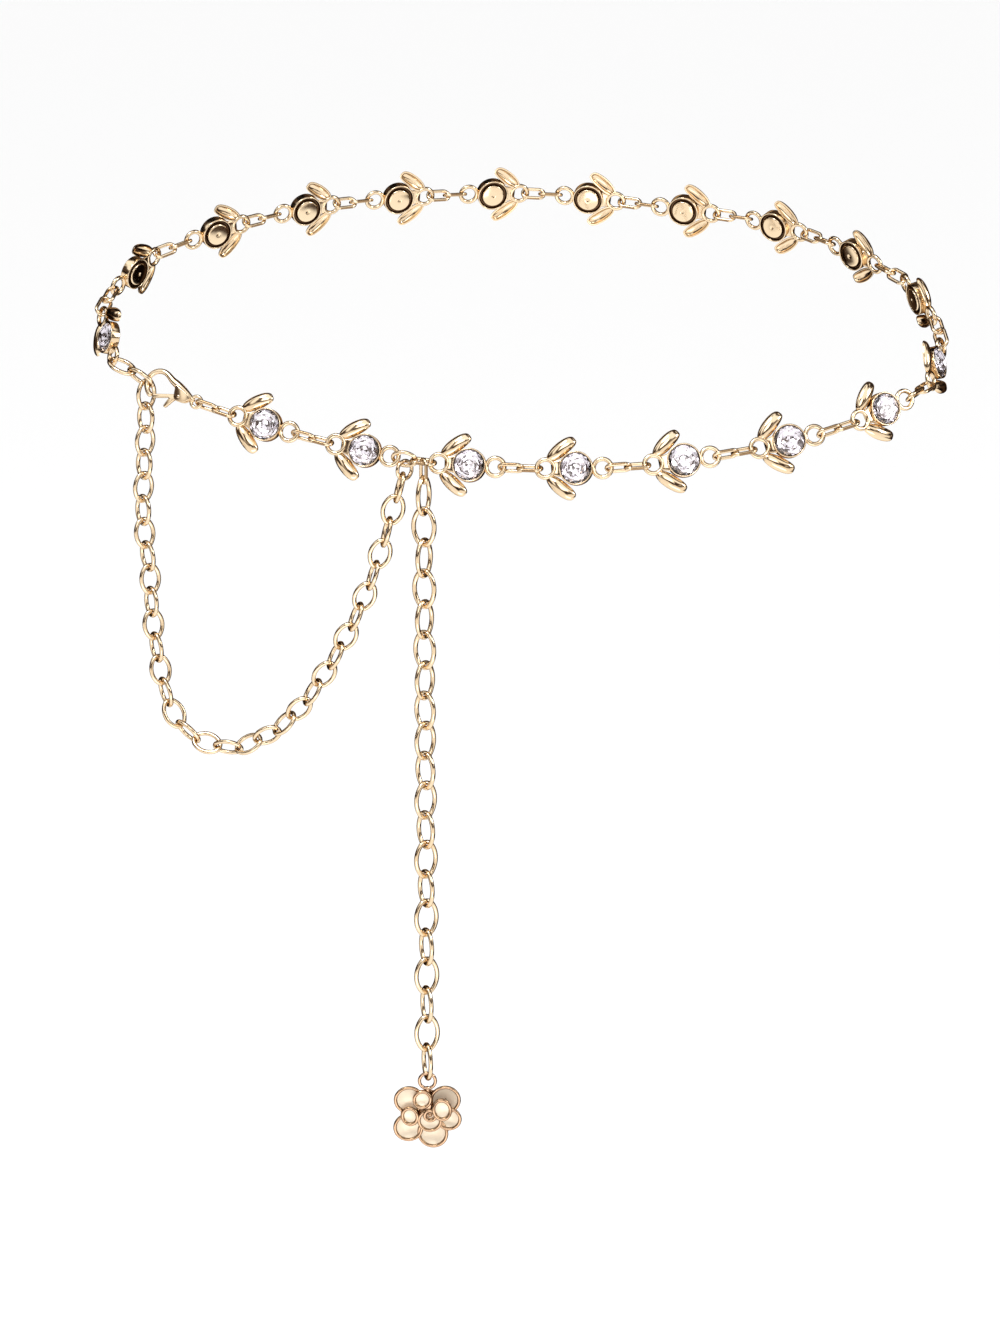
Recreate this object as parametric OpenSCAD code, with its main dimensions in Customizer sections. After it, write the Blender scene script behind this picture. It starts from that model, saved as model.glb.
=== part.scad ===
// Waist chain: flower motifs with round stones, joined by small links and closed by a lobster clasp
// on an extender chain that swags to a jump ring, with a free chain end and a rose pendant.
// Millimetres, +Z up, +X along the front, -Y out of the front. The origin is the middle of the loop.

/* [Motif] */
// Diameter of a round stone
stone_d = 8.4; // [7:0.1:9.5]
// Wall of the cup around its stone
cup_wall = 0.45; // [0.35:0.05:0.6]
// Depth of the cup behind the chain line
cup_back = 1.9; // [1.6:0.1:2.4]
// Height of the cup in front of the chain line
cup_front = 1.45; // [1.2:0.05:1.8]
// Outer diameter of a motif's two end rings
ring_d = 6.0; // [5.6:0.1:6.6]
// Wire of a motif's end rings
ring_wire = 1.1; // [0.9:0.05:1.2]
// Length of the web between the cup and the leaf ring
web_l = 0.8; // [0.5:0.1:1.4]
// Thickness of the web
web_t = 0.9; // [0.7:0.1:1.1]
// Length of a leaf
leaf_l = 10; // [9:0.1:11]
// Width of a leaf
leaf_w = 3.7; // [3.2:0.1:4]
// Height of a leaf's dome
leaf_h = 1.7; // [1.3:0.1:2]
// Wall of a hollow leaf
leaf_wall = 0.5; // [0.4:0.05:0.7]
// Splay of a leaf from the chain line in degrees
leaf_angle = 40; // [36:1:43]
// Lean of the motifs' faces above level in degrees
face_lean = 18; // [5:1:30]

/* [Small links] */
// Length of a small link between motifs
small_l = 7.4; // [7:0.1:8]
// Width of a small link
small_w = 4.05; // [3.9:0.05:4.4]
// Wire of a small link
small_wire = 0.9; // [0.8:0.05:1]

/* [Extender and swag links] */
// Length of a swag link
swag_l = 8.8; // [8.4:0.1:9.4]
// Width of a swag link
swag_w = 6.2; // [5.8:0.1:6.6]
// Wire of a swag link
swag_wire = 0.9; // [0.7:0.05:1]

/* [Tail links] */
// Length of a tail link
tail_l = 11; // [10.4:0.1:12]
// Width of a tail link
tail_w = 7; // [6.6:0.1:7.6]
// Wire of a tail link
tail_wire = 0.95; // [0.8:0.05:1.05]
// Outer diameter of the jump ring
jump_d = 5.9; // [5.5:0.1:6.4]
// Wire of the jump ring
jump_wire = 0.9; // [0.8:0.05:1]

/* [Clasp] */
// Distance from the hook's gripping side to the middle of the clasp's eye
clasp_l = 16.5; // [15:0.5:18]
// Radius of the hook to the middle of its wire
hook_r = 3.9; // [3.7:0.1:4.3]
// Wire of the hook
hook_wire = 1.5; // [1.3:0.1:1.6]
// Thickness of the clasp's body
clasp_t = 2.6; // [2.4:0.1:3]
// Thickness of the lever
lever_t = 1.1; // [0.9:0.1:1.3]
// Diameter of the lever's pin
pin_d = 0.9; // [0.8:0.1:1.1]
// Radius of the eye to the middle of its wire
eye_r = 1.6; // [1.4:0.05:1.7]
// Wire of the eye
eye_wire = 1.0; // [0.9:0.05:1.1]

/* [Rose] */
// Width of the rose across its outer petals
rose_d = 20; // [18:0.5:22]
// Radius of the ring on top of the rose, to the middle of its wire
bail_r = 2.35; // [2.2:0.05:2.8]
// Wire of the ring on the rose
bail_wire = 1.0; // [0.9:0.05:1.2]

/* [Hidden] */
MOTIFS = 19;
function two_digits(k) = str(k < 10 ? "0" : "", k);

GOLD = "#e3b98d";
STONE = "#e9e6f0";

// Clearance between wires that cross, wider where small rings cross at a slant
link_gap = 0.17;
small_gap = 0.28;
pin_gap = 0.12;
stone_gap = 0.1;
solder_lap = 0.35;

// Links of the swag and the tail, and how far their planes turn from the view at each end of a run
SWAG_LINKS = 33;
TAIL_LINKS = 20;
turn_half = 42;
swag_turn = 20;
tail_turn = [-20, 28];
small_turn = 63;

// Route of the waist loop, its points chosen by hand, from the first motif's leaf ring round the front
LOOP_ROUTE = [
    [-81, -38, -20.5], [-42, -50, -29], [-12, -55, -32], [31, -61, -31], [75, -56, -25], [103, -48, -17],
    [121, -26, -9], [117, -1, 8], [99, 22, 17], [78, 41, 23], [50, 53, 26], [7, 60, 30], [-35, 49, 30],
    [-64, 37, 28], [-89, 23, 23], [-113, 8, 14], [-121, -16, -2], [-107, -27, -12]];
// Route of the swag: share of the way across, and share of the sag below the line between its ends
SWAG_ROUTE = [
    [0, 0], [-0.01, 0.14], [-0.03, 0.4], [-0.01, 0.54], [0, 0.72], [0.05, 0.92], [0.14, 1], [0.31, 0.99],
    [0.48, 0.89], [0.62, 0.75], [0.77, 0.53], [0.88, 0.32], [0.96, 0.11], [1, 0]];

// Small vector helpers
UP = [0, 0, 1];
FRONT = [0, -1, 0];
function unit(v) = v / norm(v);
function across(v, axis) = unit(v - (v * axis) * axis);
// A vector at right angles to an axis, turned about it
function turned(v, axis, angle) = cos(angle) * across(v, axis) + sin(angle) * cross(axis, across(v, axis));
// Puts children in a frame with the x axis along t and the z axis along n
module set_in(p, t, n) {
    b = cross(n, t);
    multmatrix([[t.x, b.x, n.x, p.x], [t.y, b.y, n.y, p.y], [t.z, b.z, n.z, p.z], [0, 0, 0, 1]]) children();
}

// A smooth curve through points: four neighbours weigh each place between the middle two
function weigh(a, b, c, d, f) =
    0.5 * (2 * b + (c - a) * f + (2 * a - 5 * b + 4 * c - d) * f * f + (3 * b - a - 3 * c + d) * f * f * f);
function closed_curve(route, u) =
    let (n = len(route), i = floor(u), f = u - i)
    weigh(route[(i + n - 1) % n], route[i % n], route[(i + 1) % n], route[(i + 2) % n], f);
function open_curve(route, u) =
    let (n = len(route), i = max(0, min(n - 2, floor(u))), f = u - i,
         first = 2 * route[0] - route[1], last = 2 * route[n - 1] - route[n - 2])
    weigh(i == 0 ? first : route[i - 1], route[i], route[i + 1], i == n - 2 ? last : route[i + 2], f);
function on_curve(route, closed, u) = closed ? closed_curve(route, u) : open_curve(route, u);
// The place along a curve that lies a straight step away from the place u
function step_along(route, closed, u, step, low, high, tries = 26) =
    tries == 0 ? (low + high) / 2 :
    let (middle = (low + high) / 2)
    norm(on_curve(route, closed, middle) - on_curve(route, closed, u)) < step ?
        step_along(route, closed, u, step, middle, high, tries - 1) :
        step_along(route, closed, u, step, low, middle, tries - 1);
// Places reached by a list of steps
function walk(route, closed, steps) =
    [for (i = 0, u = 0; i <= len(steps);
          u = i < len(steps) ? step_along(route, closed, u, steps[i], u, u + 2.4) : u, i = i + 1) u];
function walk_end(route, closed, steps) = let (places = walk(route, closed, steps)) places[len(places) - 1];

// Half lengths and half widths of the links, to the middle of their wire
small_a = (small_l - small_wire) / 2;
small_b = (small_w - small_wire) / 2;
swag_a = (swag_l - swag_wire) / 2;
swag_b = (swag_w - swag_wire) / 2;
tail_a = (tail_l - tail_wire) / 2;
tail_b = (tail_w - tail_wire) / 2;
ring_r = (ring_d - ring_wire) / 2;
jump_r = (jump_d - jump_wire) / 2;

// Distances between the middles of two wires that hook into each other
ring_hold = (ring_wire + small_wire) / 2 + small_gap;
small_hold = small_wire + small_gap;
ring_swag_hold = (ring_wire + swag_wire) / 2 + small_gap;
swag_hold = swag_wire + link_gap;
tail_hold = tail_wire + link_gap;
grip_hold = (hook_wire + swag_wire) / 2 + small_gap;
eye_hold = (eye_wire + small_wire) / 2 + small_gap;
jump_hold = (jump_wire + small_wire) / 2 + small_gap;
jump_swag_hold = (jump_wire + swag_wire) / 2 + small_gap;
small_tail_hold = (small_wire + tail_wire) / 2 + small_gap;
bail_hold = (bail_wire + tail_wire) / 2 + small_gap;

// Motif layout along its own x axis, with the stone in the middle
stone_r = stone_d / 2;
cup_r = stone_r + stone_gap + cup_wall;
leaf_ring_x = cup_r + web_l + ring_d / 2;
end_ring_x = cup_r + ring_d / 2 - solder_lap;

// Straight steps round the loop, from wire to wire: motifs and pairs of small links, then the extender's
// two links, the clasp and its own pair
motif_step = leaf_ring_x + end_ring_x + 2 * ring_r;
pair_step = 4 * small_a - small_hold - 2 * ring_hold;
extender_step_1 = 2 * swag_a - ring_swag_hold - swag_hold / 2;
extender_step_2 = 2 * swag_a - swag_hold / 2 - grip_hold;
clasp_step = clasp_l + eye_r;
eye_step = 4 * small_a - small_hold - eye_hold - ring_hold;
LOOP_STEPS = concat(
    [for (k = [1:MOTIFS - 1], step = [motif_step, pair_step]) step],
    [motif_step, extender_step_1, extender_step_2, clasp_step, eye_step]);

// The loop's route grows or shrinks until the steps close it, by the secant rule
function loop_miss(scale) = walk_end(scale * LOOP_ROUTE, true, LOOP_STEPS) - len(LOOP_ROUTE);
function closing(s0, m0, s1, m1, tries = 4) =
    tries == 0 || abs(m1 - m0) < 1e-9 ? s1 :
    let (s2 = s1 - m1 * (s1 - s0) / (m1 - m0)) closing(s1, m1, s2, loop_miss(s2), tries - 1);
loop_scale = closing(1, loop_miss(1), 1.01, loop_miss(1.01));
LOOP = [for (u = walk(loop_scale * LOOP_ROUTE, true, LOOP_STEPS)) closed_curve(loop_scale * LOOP_ROUTE, u)];

// A face looks out of the loop at right angles to its chain line and leans up a little
function face(t) =
    let (out = unit(cross(t, UP)), rise = cross(out, t)) cos(face_lean) * out + sin(face_lean) * rise;
function motif_line(k) = unit(LOOP[2 * k - 1] - LOOP[2 * k - 2]);
function motif_middle(k) = LOOP[2 * k - 2] + (leaf_ring_x + ring_r) * motif_line(k);

// The extender's two links, the clasp and its eye
extender_from = LOOP[2 * MOTIFS - 1];
extender_joint = LOOP[2 * MOTIFS];
grip = LOOP[2 * MOTIFS + 1];
eye_end = LOOP[2 * MOTIFS + 2];
extender_turn = [-60, 60];
extender_line_1 = unit(extender_joint - extender_from);
extender_line_2 = unit(grip - extender_joint);
extender_middle_1 = extender_from + (swag_a - ring_swag_hold) * extender_line_1;
extender_middle_2 = extender_joint + (swag_a - swag_hold / 2) * extender_line_2;
extender_face_1 = turned(face(extender_line_1), extender_line_1, extender_turn[0]);
extender_face_2 = turned(face(extender_line_2), extender_line_2, extender_turn[1]);
clasp_line = unit(eye_end - grip);
clasp_face = face(clasp_line);

// The swag hangs on the low side of the second extender link, a little short of its lowest place
swag_bend = (swag_a - swag_b) / 2;
extender_width_2 = cross(extender_face_2, extender_line_2);
hang_back = 10;
hang_angle = atan2(-extender_width_2.z, -extender_line_2.z) - hang_back;
hang_wire = (swag_b + 4 * swag_bend) * [cos(hang_angle), sin(hang_angle)] + [0, 4 * swag_bend];
swag_start = extender_middle_2 + hang_wire.x * extender_line_2 + hang_wire.y * extender_width_2
    + swag_hold / 2 * UP;

// The jump ring and the tail's hanger hang on the pair of links after the second motif, whose first
// link is wide and turned less, so that its low side carries the swag
HUNG_AFTER = 2;
wide_turn = 50;
wide_b = 2.475;
wide_hold = ring_hold + 0.15;
hung_from = LOOP[2 * HUNG_AFTER - 1];
hung_to = LOOP[2 * HUNG_AFTER];
hung_line = unit(hung_to - hung_from);
wide_face = turned(face(hung_line), hung_line, wide_turn);
wide_width = cross(wide_face, hung_line);
wide_middle = hung_from + (small_a - wide_hold) * hung_line;
second_face = turned(face(hung_line), hung_line, -small_turn);
second_width = cross(second_face, hung_line);
second_middle = hung_to - (small_a - ring_hold) * hung_line;
jump_shift = 0;
hanger_shift = 0.3;
low_wire_1 = wide_middle + jump_shift * hung_line - wide_b * wide_width;
low_wire_2 = second_middle + hanger_shift * hung_line + small_b * second_width * (second_width.z > 0 ? -1 : 1);

// The jump ring stands nearly face on, and the swag pulls at its lower left
jump_yaw = 42;
jump_face = [sin(jump_yaw), -cos(jump_yaw), 0];
jump_across = cross(UP, jump_face);
jump_middle = low_wire_1 - (jump_r - jump_hold) * UP;
jump_pull_angle = 112;
jump_pull = cos(jump_pull_angle) * jump_across - sin(jump_pull_angle) * UP;
swag_end = jump_middle + (jump_r - jump_swag_hold / 2) * jump_pull;

// The swag's route: its sag grows until the links reach the jump ring
swag_reach = swag_end - swag_start;
swag_level = unit([swag_reach.x, swag_reach.y, 0]);
swag_face = cross(swag_level, UP);
function swag_route(sag) = [for (row = SWAG_ROUTE) swag_start + row[0] * swag_reach - row[1] * sag * UP];
SWAG_STEPS = concat(
    [for (i = [1:SWAG_LINKS - 1]) 2 * swag_a - swag_hold],
    [2 * swag_a - swag_hold / 2 - jump_swag_hold / 2]);
function swag_miss(sag) = walk_end(swag_route(sag), false, SWAG_STEPS) - (len(SWAG_ROUTE) - 1);
function sagging(s0, m0, s1, m1, tries = 5) =
    tries == 0 || abs(m1 - m0) < 1e-9 ? s1 :
    let (s2 = s1 - m1 * (s1 - s0) / (m1 - m0)) sagging(s1, m1, s2, swag_miss(s2), tries - 1);
swag_sag = sagging(100, swag_miss(100), 105, swag_miss(105));
SWAG = [for (u = walk(swag_route(swag_sag), false, SWAG_STEPS)) open_curve(swag_route(swag_sag), u)];

// The tail hangs straight down from its hanger
hanger_top = low_wire_2 + small_hold / 2 * UP;
hanger_middle = low_wire_2 + (small_hold - small_a) * UP;
tail_top = hanger_middle - (small_a - small_tail_hold / 2) * UP;
tail_pitch = 2 * tail_a - tail_hold;
function tail_middle(i) = tail_top - (tail_a - small_tail_hold / 2 + i * tail_pitch) * UP;
rose_pivot = tail_middle(TAIL_LINKS - 1) - tail_a * UP;
rose_r = rose_d / 2;
bail_middle = rose_pivot - (bail_r - bail_hold) * UP;
rose_middle = bail_middle - (rose_r + 1.15) * UP;

// Wire bent to part of a circle
module wire_arc(radius, wire, from, sweep) {
    rotate_extrude(angle = sweep, start = from, $fn = 64)
        translate([radius, 0]) circle(d = wire, $fn = 32);
}

// A full ring of wire
module wire_ring(radius, wire) {
    rotate_extrude($fn = 64) translate([radius, 0]) circle(d = wire, $fn = 32);
}

// An oval link of four arcs that meet in the directions of a 3, 4, 5 triangle, a quarter at a time
module oval_link(a, b, wire) {
    bend = (a - b) / 2;
    end_r = b - bend;
    side_r = end_r + 5 * bend;
    for (end = [0, 1], side = [0, 1]) mirror([end, 0, 0]) mirror([0, side, 0]) {
        translate([3 * bend, 0, 0]) wire_arc(end_r, wire, 0, 53.1301);
        translate([0, -4 * bend, 0]) rotate([0, 0, 90]) wire_arc(side_r, wire, -36.8699, 36.8699);
    }
}

// A small link with straight sides and round ends
module small_link() {
    for (end = [0, 1]) mirror([end, 0, 0]) {
        translate([small_a - small_b, 0, 0]) wire_arc(small_b, small_wire, -90, 180);
        translate([-(small_a - small_b), small_b * (1 - 2 * end), 0]) rotate([0, 90, 0])
            cylinder(d = small_wire, h = 2 * (small_a - small_b), $fn = 32);
    }
}

// The cup: a domed back with a dimple, a round shoulder, and a lip over the stone's edge
module cup() {
    shoulder = 0.7;
    dimple_r = 0.5;
    lip_in = 0.25;
    dome = [for (i = [0:5]) let (f = i / 5) [dimple_r + f * (cup_r - shoulder - dimple_r),
        -cup_back + 0.3 * f * f]];
    edge = [for (i = [1:5]) let (angle = -90 + 18 * i)
        [cup_r - shoulder + shoulder * cos(angle), -cup_back + 0.3 + shoulder * (1 + sin(angle))]];
    lip = [for (i = [0:3]) let (angle = 30 * i)
        [cup_r - 0.25 + 0.25 * cos(angle), cup_front - 0.25 + 0.25 * sin(angle)]];
    seat = cup_front - 0.6;
    rotate_extrude($fn = 96) polygon(concat(
        [[0, -cup_back + 0.3], [dimple_r - 0.15, -cup_back + 0.25]], dome, edge, lip,
        [[stone_r - lip_in, cup_front - 0.05], [stone_r - lip_in, seat + 0.32],
         [stone_r + stone_gap, seat + 0.2], [stone_r + stone_gap, seat - 0.2],
         [stone_r * 0.3, -cup_back + 0.5], [0, -cup_back + 0.5]]));
}

// A hollow leaf with a domed front and an open back, its middle at the origin and its length on x
module leaf() {
    difference() {
        intersection() {
            scale([leaf_l / 2, leaf_w / 2, leaf_h]) sphere(r = 1, $fn = 64);
            translate([-leaf_l, -leaf_w, 0]) cube([2 * leaf_l, 2 * leaf_w, 2 * leaf_h]);
        }
        scale([leaf_l / 2 - leaf_wall, leaf_w / 2 - leaf_wall, leaf_h - leaf_wall]) sphere(r = 1, $fn = 64);
    }
}

// The flat web that carries the leaves, the cup and the leaf ring
module web() {
    back = leaf_ring_x - ring_r + ring_wire * 0.1;
    translate([0, 0, -web_t / 2]) linear_extrude(web_t) polygon([
        [-back - 0.2, -1.9], [-cup_r + 0.5, -2.6], [-cup_r + 0.5, 2.6], [-back - 0.2, 1.9]]);
}

// One cast motif, its stone's middle at the origin and the chain line on x
module motif_metal() {
    leaf_foot = 0.4;
    foot_y = 2.2;
    leaf_x = -leaf_ring_x + leaf_foot + leaf_l / 2 * cos(leaf_angle);
    leaf_y = foot_y + leaf_l / 2 * sin(leaf_angle);
    cup();
    difference() {
        web();
        translate([-leaf_ring_x, 0, -web_t]) cylinder(r = ring_r - ring_wire / 4, h = 2 * web_t, $fn = 48);
    }
    translate([-leaf_ring_x, 0, 0]) wire_ring(ring_r, ring_wire);
    translate([end_ring_x, 0, 0]) wire_ring(ring_r, ring_wire);
    for (side = [0, 1]) mirror([0, side, 0])
        translate([leaf_x, leaf_y, -web_t / 2]) rotate([0, 0, leaf_angle]) leaf();
}

module motif(k) {
    color(GOLD) set_in(motif_middle(k), motif_line(k), face(motif_line(k))) motif_metal();
}

// A round brilliant with a table, 8 stars, 8 kites, 16 upper facets, a girdle and a shallow pavilion
module brilliant() {
    girdle_z = cup_front - 0.6;
    table_r = stone_r * 0.57;
    kite_r = stone_r * 0.82;
    culet_r = stone_r * 0.28;
    crown_h = stone_r * 0.28;
    table_z = girdle_z + 0.1 + crown_h;
    slope = crown_h / (stone_r - table_r);
    kite_z = table_z - (kite_r * cos(22.5) - table_r) * slope;
    culet_z = -cup_back + 0.62;
    function spin(n, r, z, from) = [for (i = [0:n - 1]) [r * cos(from + i * 360 / n), r * sin(from + i * 360 / n), z]];
    points = concat(spin(8, table_r, table_z, 0), spin(8, kite_r, kite_z, 22.5),
        spin(16, stone_r, girdle_z + 0.1, 0), spin(16, stone_r, girdle_z - 0.1, 0),
        spin(8, culet_r, culet_z, 0));
    table = 0;
    kite = 8;
    upper = 16;
    lower = 32;
    culet = 48;
    faces = concat(
        [[for (i = [7:-1:0]) table + i]],
        [for (i = [0:7]) let (j = (i + 1) % 8, h = (i + 7) % 8) each [
            [table + i, table + j, kite + i],
            [table + i, kite + i, upper + 2 * i, kite + h],
            [kite + i, upper + 2 * i + 1, upper + 2 * i],
            [kite + i, upper + 2 * j, upper + 2 * i + 1],
            [lower + 2 * i, lower + 2 * i + 1, culet + i],
            [lower + 2 * i + 1, culet + j, culet + i],
            [lower + 2 * i + 1, lower + 2 * j, culet + j]]],
        [for (i = [0:15]) let (j = (i + 1) % 16) [upper + i, upper + j, lower + j, lower + i]],
        [[for (i = [0:7]) culet + i]]);
    polyhedron(points, faces);
}

module stone(k) {
    color(STONE) set_in(motif_middle(k), motif_line(k), face(motif_line(k))) brilliant();
}

// Two small links from the wire at p to the wire at q, turned to either side of the face
module small_pair(p, q, first_hold, turn) {
    line = unit(q - p);
    set_in(p + (small_a - first_hold) * line, line, turned(face(line), line, turn)) small_link();
    set_in(q - (small_a - ring_hold) * line, line, turned(face(line), line, -turn)) small_link();
}

module small_pairs(first, last) {
    color(GOLD) for (k = [first:last]) if (k != HUNG_AFTER)
        small_pair(LOOP[2 * k - 1], LOOP[2 * k], ring_hold, k < 10 ? small_turn : -small_turn);
}

module front_links() {
    small_pairs(1, 7);
    color(GOLD) {
        set_in(wide_middle, hung_line, wide_face) oval_link(small_a, wide_b, small_wire);
        set_in(second_middle, hung_line, second_face) small_link();
    }
}

module side_links() {
    small_pairs(8, 10);
    color(GOLD) small_pair(eye_end, LOOP[0], eye_hold, small_turn);
    color(GOLD) set_in(hanger_middle, -UP, turned(FRONT, -UP, small_turn)) small_link();
}
module back_links() small_pairs(11, MOTIFS - 1);

module extender_chain() {
    color(GOLD) {
        set_in(extender_middle_1, extender_line_1, extender_face_1) oval_link(swag_a, swag_b, swag_wire);
        set_in(extender_middle_2, extender_line_2, extender_face_2) oval_link(swag_a, swag_b, swag_wire);
    }
}

// Turn of a swag link: narrow and wide links take turns near the ends, equal ones lie at the bottom
function swag_link_turn(i) =
    -swag_turn * abs(1 - 2 * i / (SWAG_LINKS - 1)) + (i % 2 == 0 ? -turn_half : turn_half);
module swag_chain() {
    color(GOLD) for (i = [0:SWAG_LINKS - 1]) {
        line = unit(SWAG[i + 1] - SWAG[i]);
        start_hold = swag_hold;
        set_in(SWAG[i] + (swag_a - start_hold / 2) * line, line, turned(swag_face, line, swag_link_turn(i)))
            oval_link(swag_a, swag_b, swag_wire);
    }
}

module jump_ring() {
    color(GOLD) set_in(jump_middle, jump_across, jump_face) wire_ring(jump_r, jump_wire);
}

function tail_link_turn(i) =
    tail_turn[0] + (tail_turn[1] - tail_turn[0]) * i / (TAIL_LINKS - 1) + (i % 2 == 0 ? -turn_half : turn_half);
module tail_chain() {
    color(GOLD) for (i = [0:TAIL_LINKS - 1])
        set_in(tail_middle(i), -UP, turned(FRONT, -UP, tail_link_turn(i))) oval_link(tail_a, tail_b, tail_wire);
}

// Places in the clasp's own frame: the hook's gripping side at the origin, the eye along x
hook_tilt = 5;
hook_middle = hook_r * [cos(hook_tilt), sin(hook_tilt)];
hook_end = 244;
function on_hook(angle) = hook_middle + hook_r * [cos(angle), sin(angle)];
pin_spot = [clasp_l - 5.3, -0.55];
lever_tip = on_hook(hook_end) + [1.55, 0.05];
lever_tip_r = 0.6;
lever_hub_r = 1.05;
lever_run = unit(lever_tip - pin_spot);
lever_side = [-lever_run.y, lever_run.x];

// A round bar that tapers from one place to another
module taper(p, r1, q, r2) {
    translate([p.x, p.y, 0]) rotate([0, 0, atan2(q.y - p.y, q.x - p.x)]) rotate([0, 90, 0])
        cylinder(r1 = r1, r2 = r2, h = norm(q - p), $fn = 48);
}

// The hook, the arm along its back, two cheeks with a slot for the lever, the pin and the eye
module clasp_body() {
    arm_start = on_hook(60);
    arm_thick = [clasp_l - 6.9, 2.3];
    arm_end = [clasp_l - 1.85, 0.3];
    slot = lever_t / 2 + pin_gap;
    color(GOLD) set_in(grip, clasp_line, clasp_face) {
        translate([hook_middle.x, hook_middle.y, 0]) wire_arc(hook_r, hook_wire, 50, hook_end - 50);
        translate([on_hook(hook_end).x, on_hook(hook_end).y, 0]) sphere(d = hook_wire + 0.1, $fn = 48);
        translate([arm_start.x, arm_start.y, 0]) sphere(r = 0.95, $fn = 48);
        taper(arm_start, 0.85, arm_thick, 1.1);
        translate([arm_thick.x, arm_thick.y, 0]) sphere(r = 1.2, $fn = 48);
        taper(arm_thick, 1.1, arm_end, 0.75);
        difference() {
            translate([0, 0, -clasp_t / 2]) linear_extrude(clasp_t) polygon([
                arm_thick + [-0.6, 0.1], arm_end + [-0.1, 0.4], arm_end + [0, -0.7], pin_spot + [2.1, -1],
                pin_spot + [0.9, -1.4], pin_spot + [-0.6, -1.4], pin_spot + [-1.4, -0.7], pin_spot + [-1.7, 0.6]]);
            translate([pin_spot.x - 6, pin_spot.y - 5, -slot]) cube([7.25, 6.2, 2 * slot]);
        }
        translate([pin_spot.x, pin_spot.y, -clasp_t / 2 - 0.15]) cylinder(d = pin_d, h = clasp_t + 0.3, $fn = 32);
        translate([clasp_l, 0, 0]) wire_ring(eye_r, eye_wire);
    }
}

// The lever: a flat bar on its hub with a thumb piece below
module clasp_lever() {
    thumb_start = pin_spot + 2.6 * lever_run;
    thumb_end = thumb_start + [-0.75, -3.2];
    thumb_side = unit([-(thumb_end - thumb_start).y, (thumb_end - thumb_start).x]);
    color(GOLD) set_in(grip, clasp_line, clasp_face) translate([0, 0, -lever_t / 2]) difference() {
        union() {
            translate([pin_spot.x, pin_spot.y, 0]) cylinder(r = lever_hub_r, h = lever_t, $fn = 48);
            translate([lever_tip.x, lever_tip.y, 0]) cylinder(r = lever_tip_r, h = lever_t, $fn = 48);
            translate([thumb_end.x, thumb_end.y, 0]) cylinder(r = 0.45, h = lever_t, $fn = 48);
            linear_extrude(lever_t) polygon([pin_spot + 0.85 * lever_side, lever_tip + 0.53 * lever_side,
                lever_tip - 0.53 * lever_side, pin_spot - 0.85 * lever_side]);
            linear_extrude(lever_t) polygon([thumb_start + 0.9 * thumb_side, thumb_end + 0.38 * thumb_side,
                thumb_end - 0.38 * thumb_side, thumb_start - 0.7 * thumb_side]);
        }
        translate([pin_spot.x, pin_spot.y, -1]) cylinder(d = pin_d + 2 * pin_gap, h = lever_t + 2, $fn = 48);
    }
}

// Petals of the rose: place, radius, height, and lean outwards in degrees
OUTER_PETALS = [
    [-6, 4.9, 3.8, 0, 14], [6.1, 5.5, 3.6, -0.2, 14], [6.5, -1.3, 3.5, 0.1, 14], [1.6, -6.1, 3.9, -0.1, 14],
    [-5.6, -4.6, 3.9, 0.1, 14]];
INNER_PETALS = [
    [-5, 0.2, 2.7, 1, 9], [-1.3, 5.5, 2.8, 0.8, 6], [4.2, 2.8, 2.9, 1.3, 6], [1.3, -2, 3.5, 1.2, 4],
    [0.8, 1, 2, 1.9, 0]];

// A cupped petal with a rolled edge: a sheet between two balls, and a bead round its rim
module petal(x, y, r, z, lean) {
    depth = 0.3 * r;
    sheet = 0.55;
    bead = 0.42;
    rim = r - bead;
    top_r = (rim * rim + depth * depth) / (2 * depth);
    under_r = top_r + sheet;
    translate([x, y, z]) rotate(lean, [-y, x, 0]) rotate_extrude($fn = 48) {
        difference() {
            intersection() {
                translate([0, top_r - depth]) circle(r = under_r, $fn = 96);
                translate([0, -depth - 1]) square([rim, depth + 1]);
            }
            translate([0, top_r - depth]) circle(r = top_r, $fn = 96);
        }
        translate([rim, -0.12]) circle(r = bead, $fn = 24);
    }
}

module rose_pendant() {
    grow = rose_d / 20;
    color(GOLD) {
        set_in(rose_middle, [1, 0, 0], FRONT) scale(grow) {
            rotate_extrude($fn = 64) polygon([
                [0, -2.4], [4, -2.4], [6.6, -1.9], [7.4, -1.2], [7.4, -0.8], [6.4, -0.5], [0, 0.6]]);
            for (p = OUTER_PETALS) petal(p[0], p[1], p[2], p[3], p[4]);
            for (p = INNER_PETALS) petal(p[0], p[1], p[2], p[3], p[4]);
            translate([0.8, 1, 1.5]) sphere(r = 0.8, $fn = 32);
            translate([0, 7.1, -0.2]) rotate([-90, 0, 0]) cylinder(r = 0.8, h = 1.9, $fn = 32);
        }
        set_in(bail_middle, [1, 0, 0], FRONT) wire_ring(bail_r, bail_wire);
    }
}

front_links();
side_links();
back_links();
extender_chain();
swag_chain();
jump_ring();
tail_chain();
clasp_body();
clasp_lever();
rose_pendant();
for (k = [1:MOTIFS]) {
    motif(k);
    stone(k);
}
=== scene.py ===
"""Looks of a waist chain: polished pale gold motifs with foil-backed stones, their links, clasp and rose.

Lengths are worked out in millimetres in the part's own frame and put into the meshes in metres.
"""

import logging
import math
from dataclasses import dataclass, replace
from enum import Enum, IntEnum
from typing import Callable, Sequence

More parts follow.
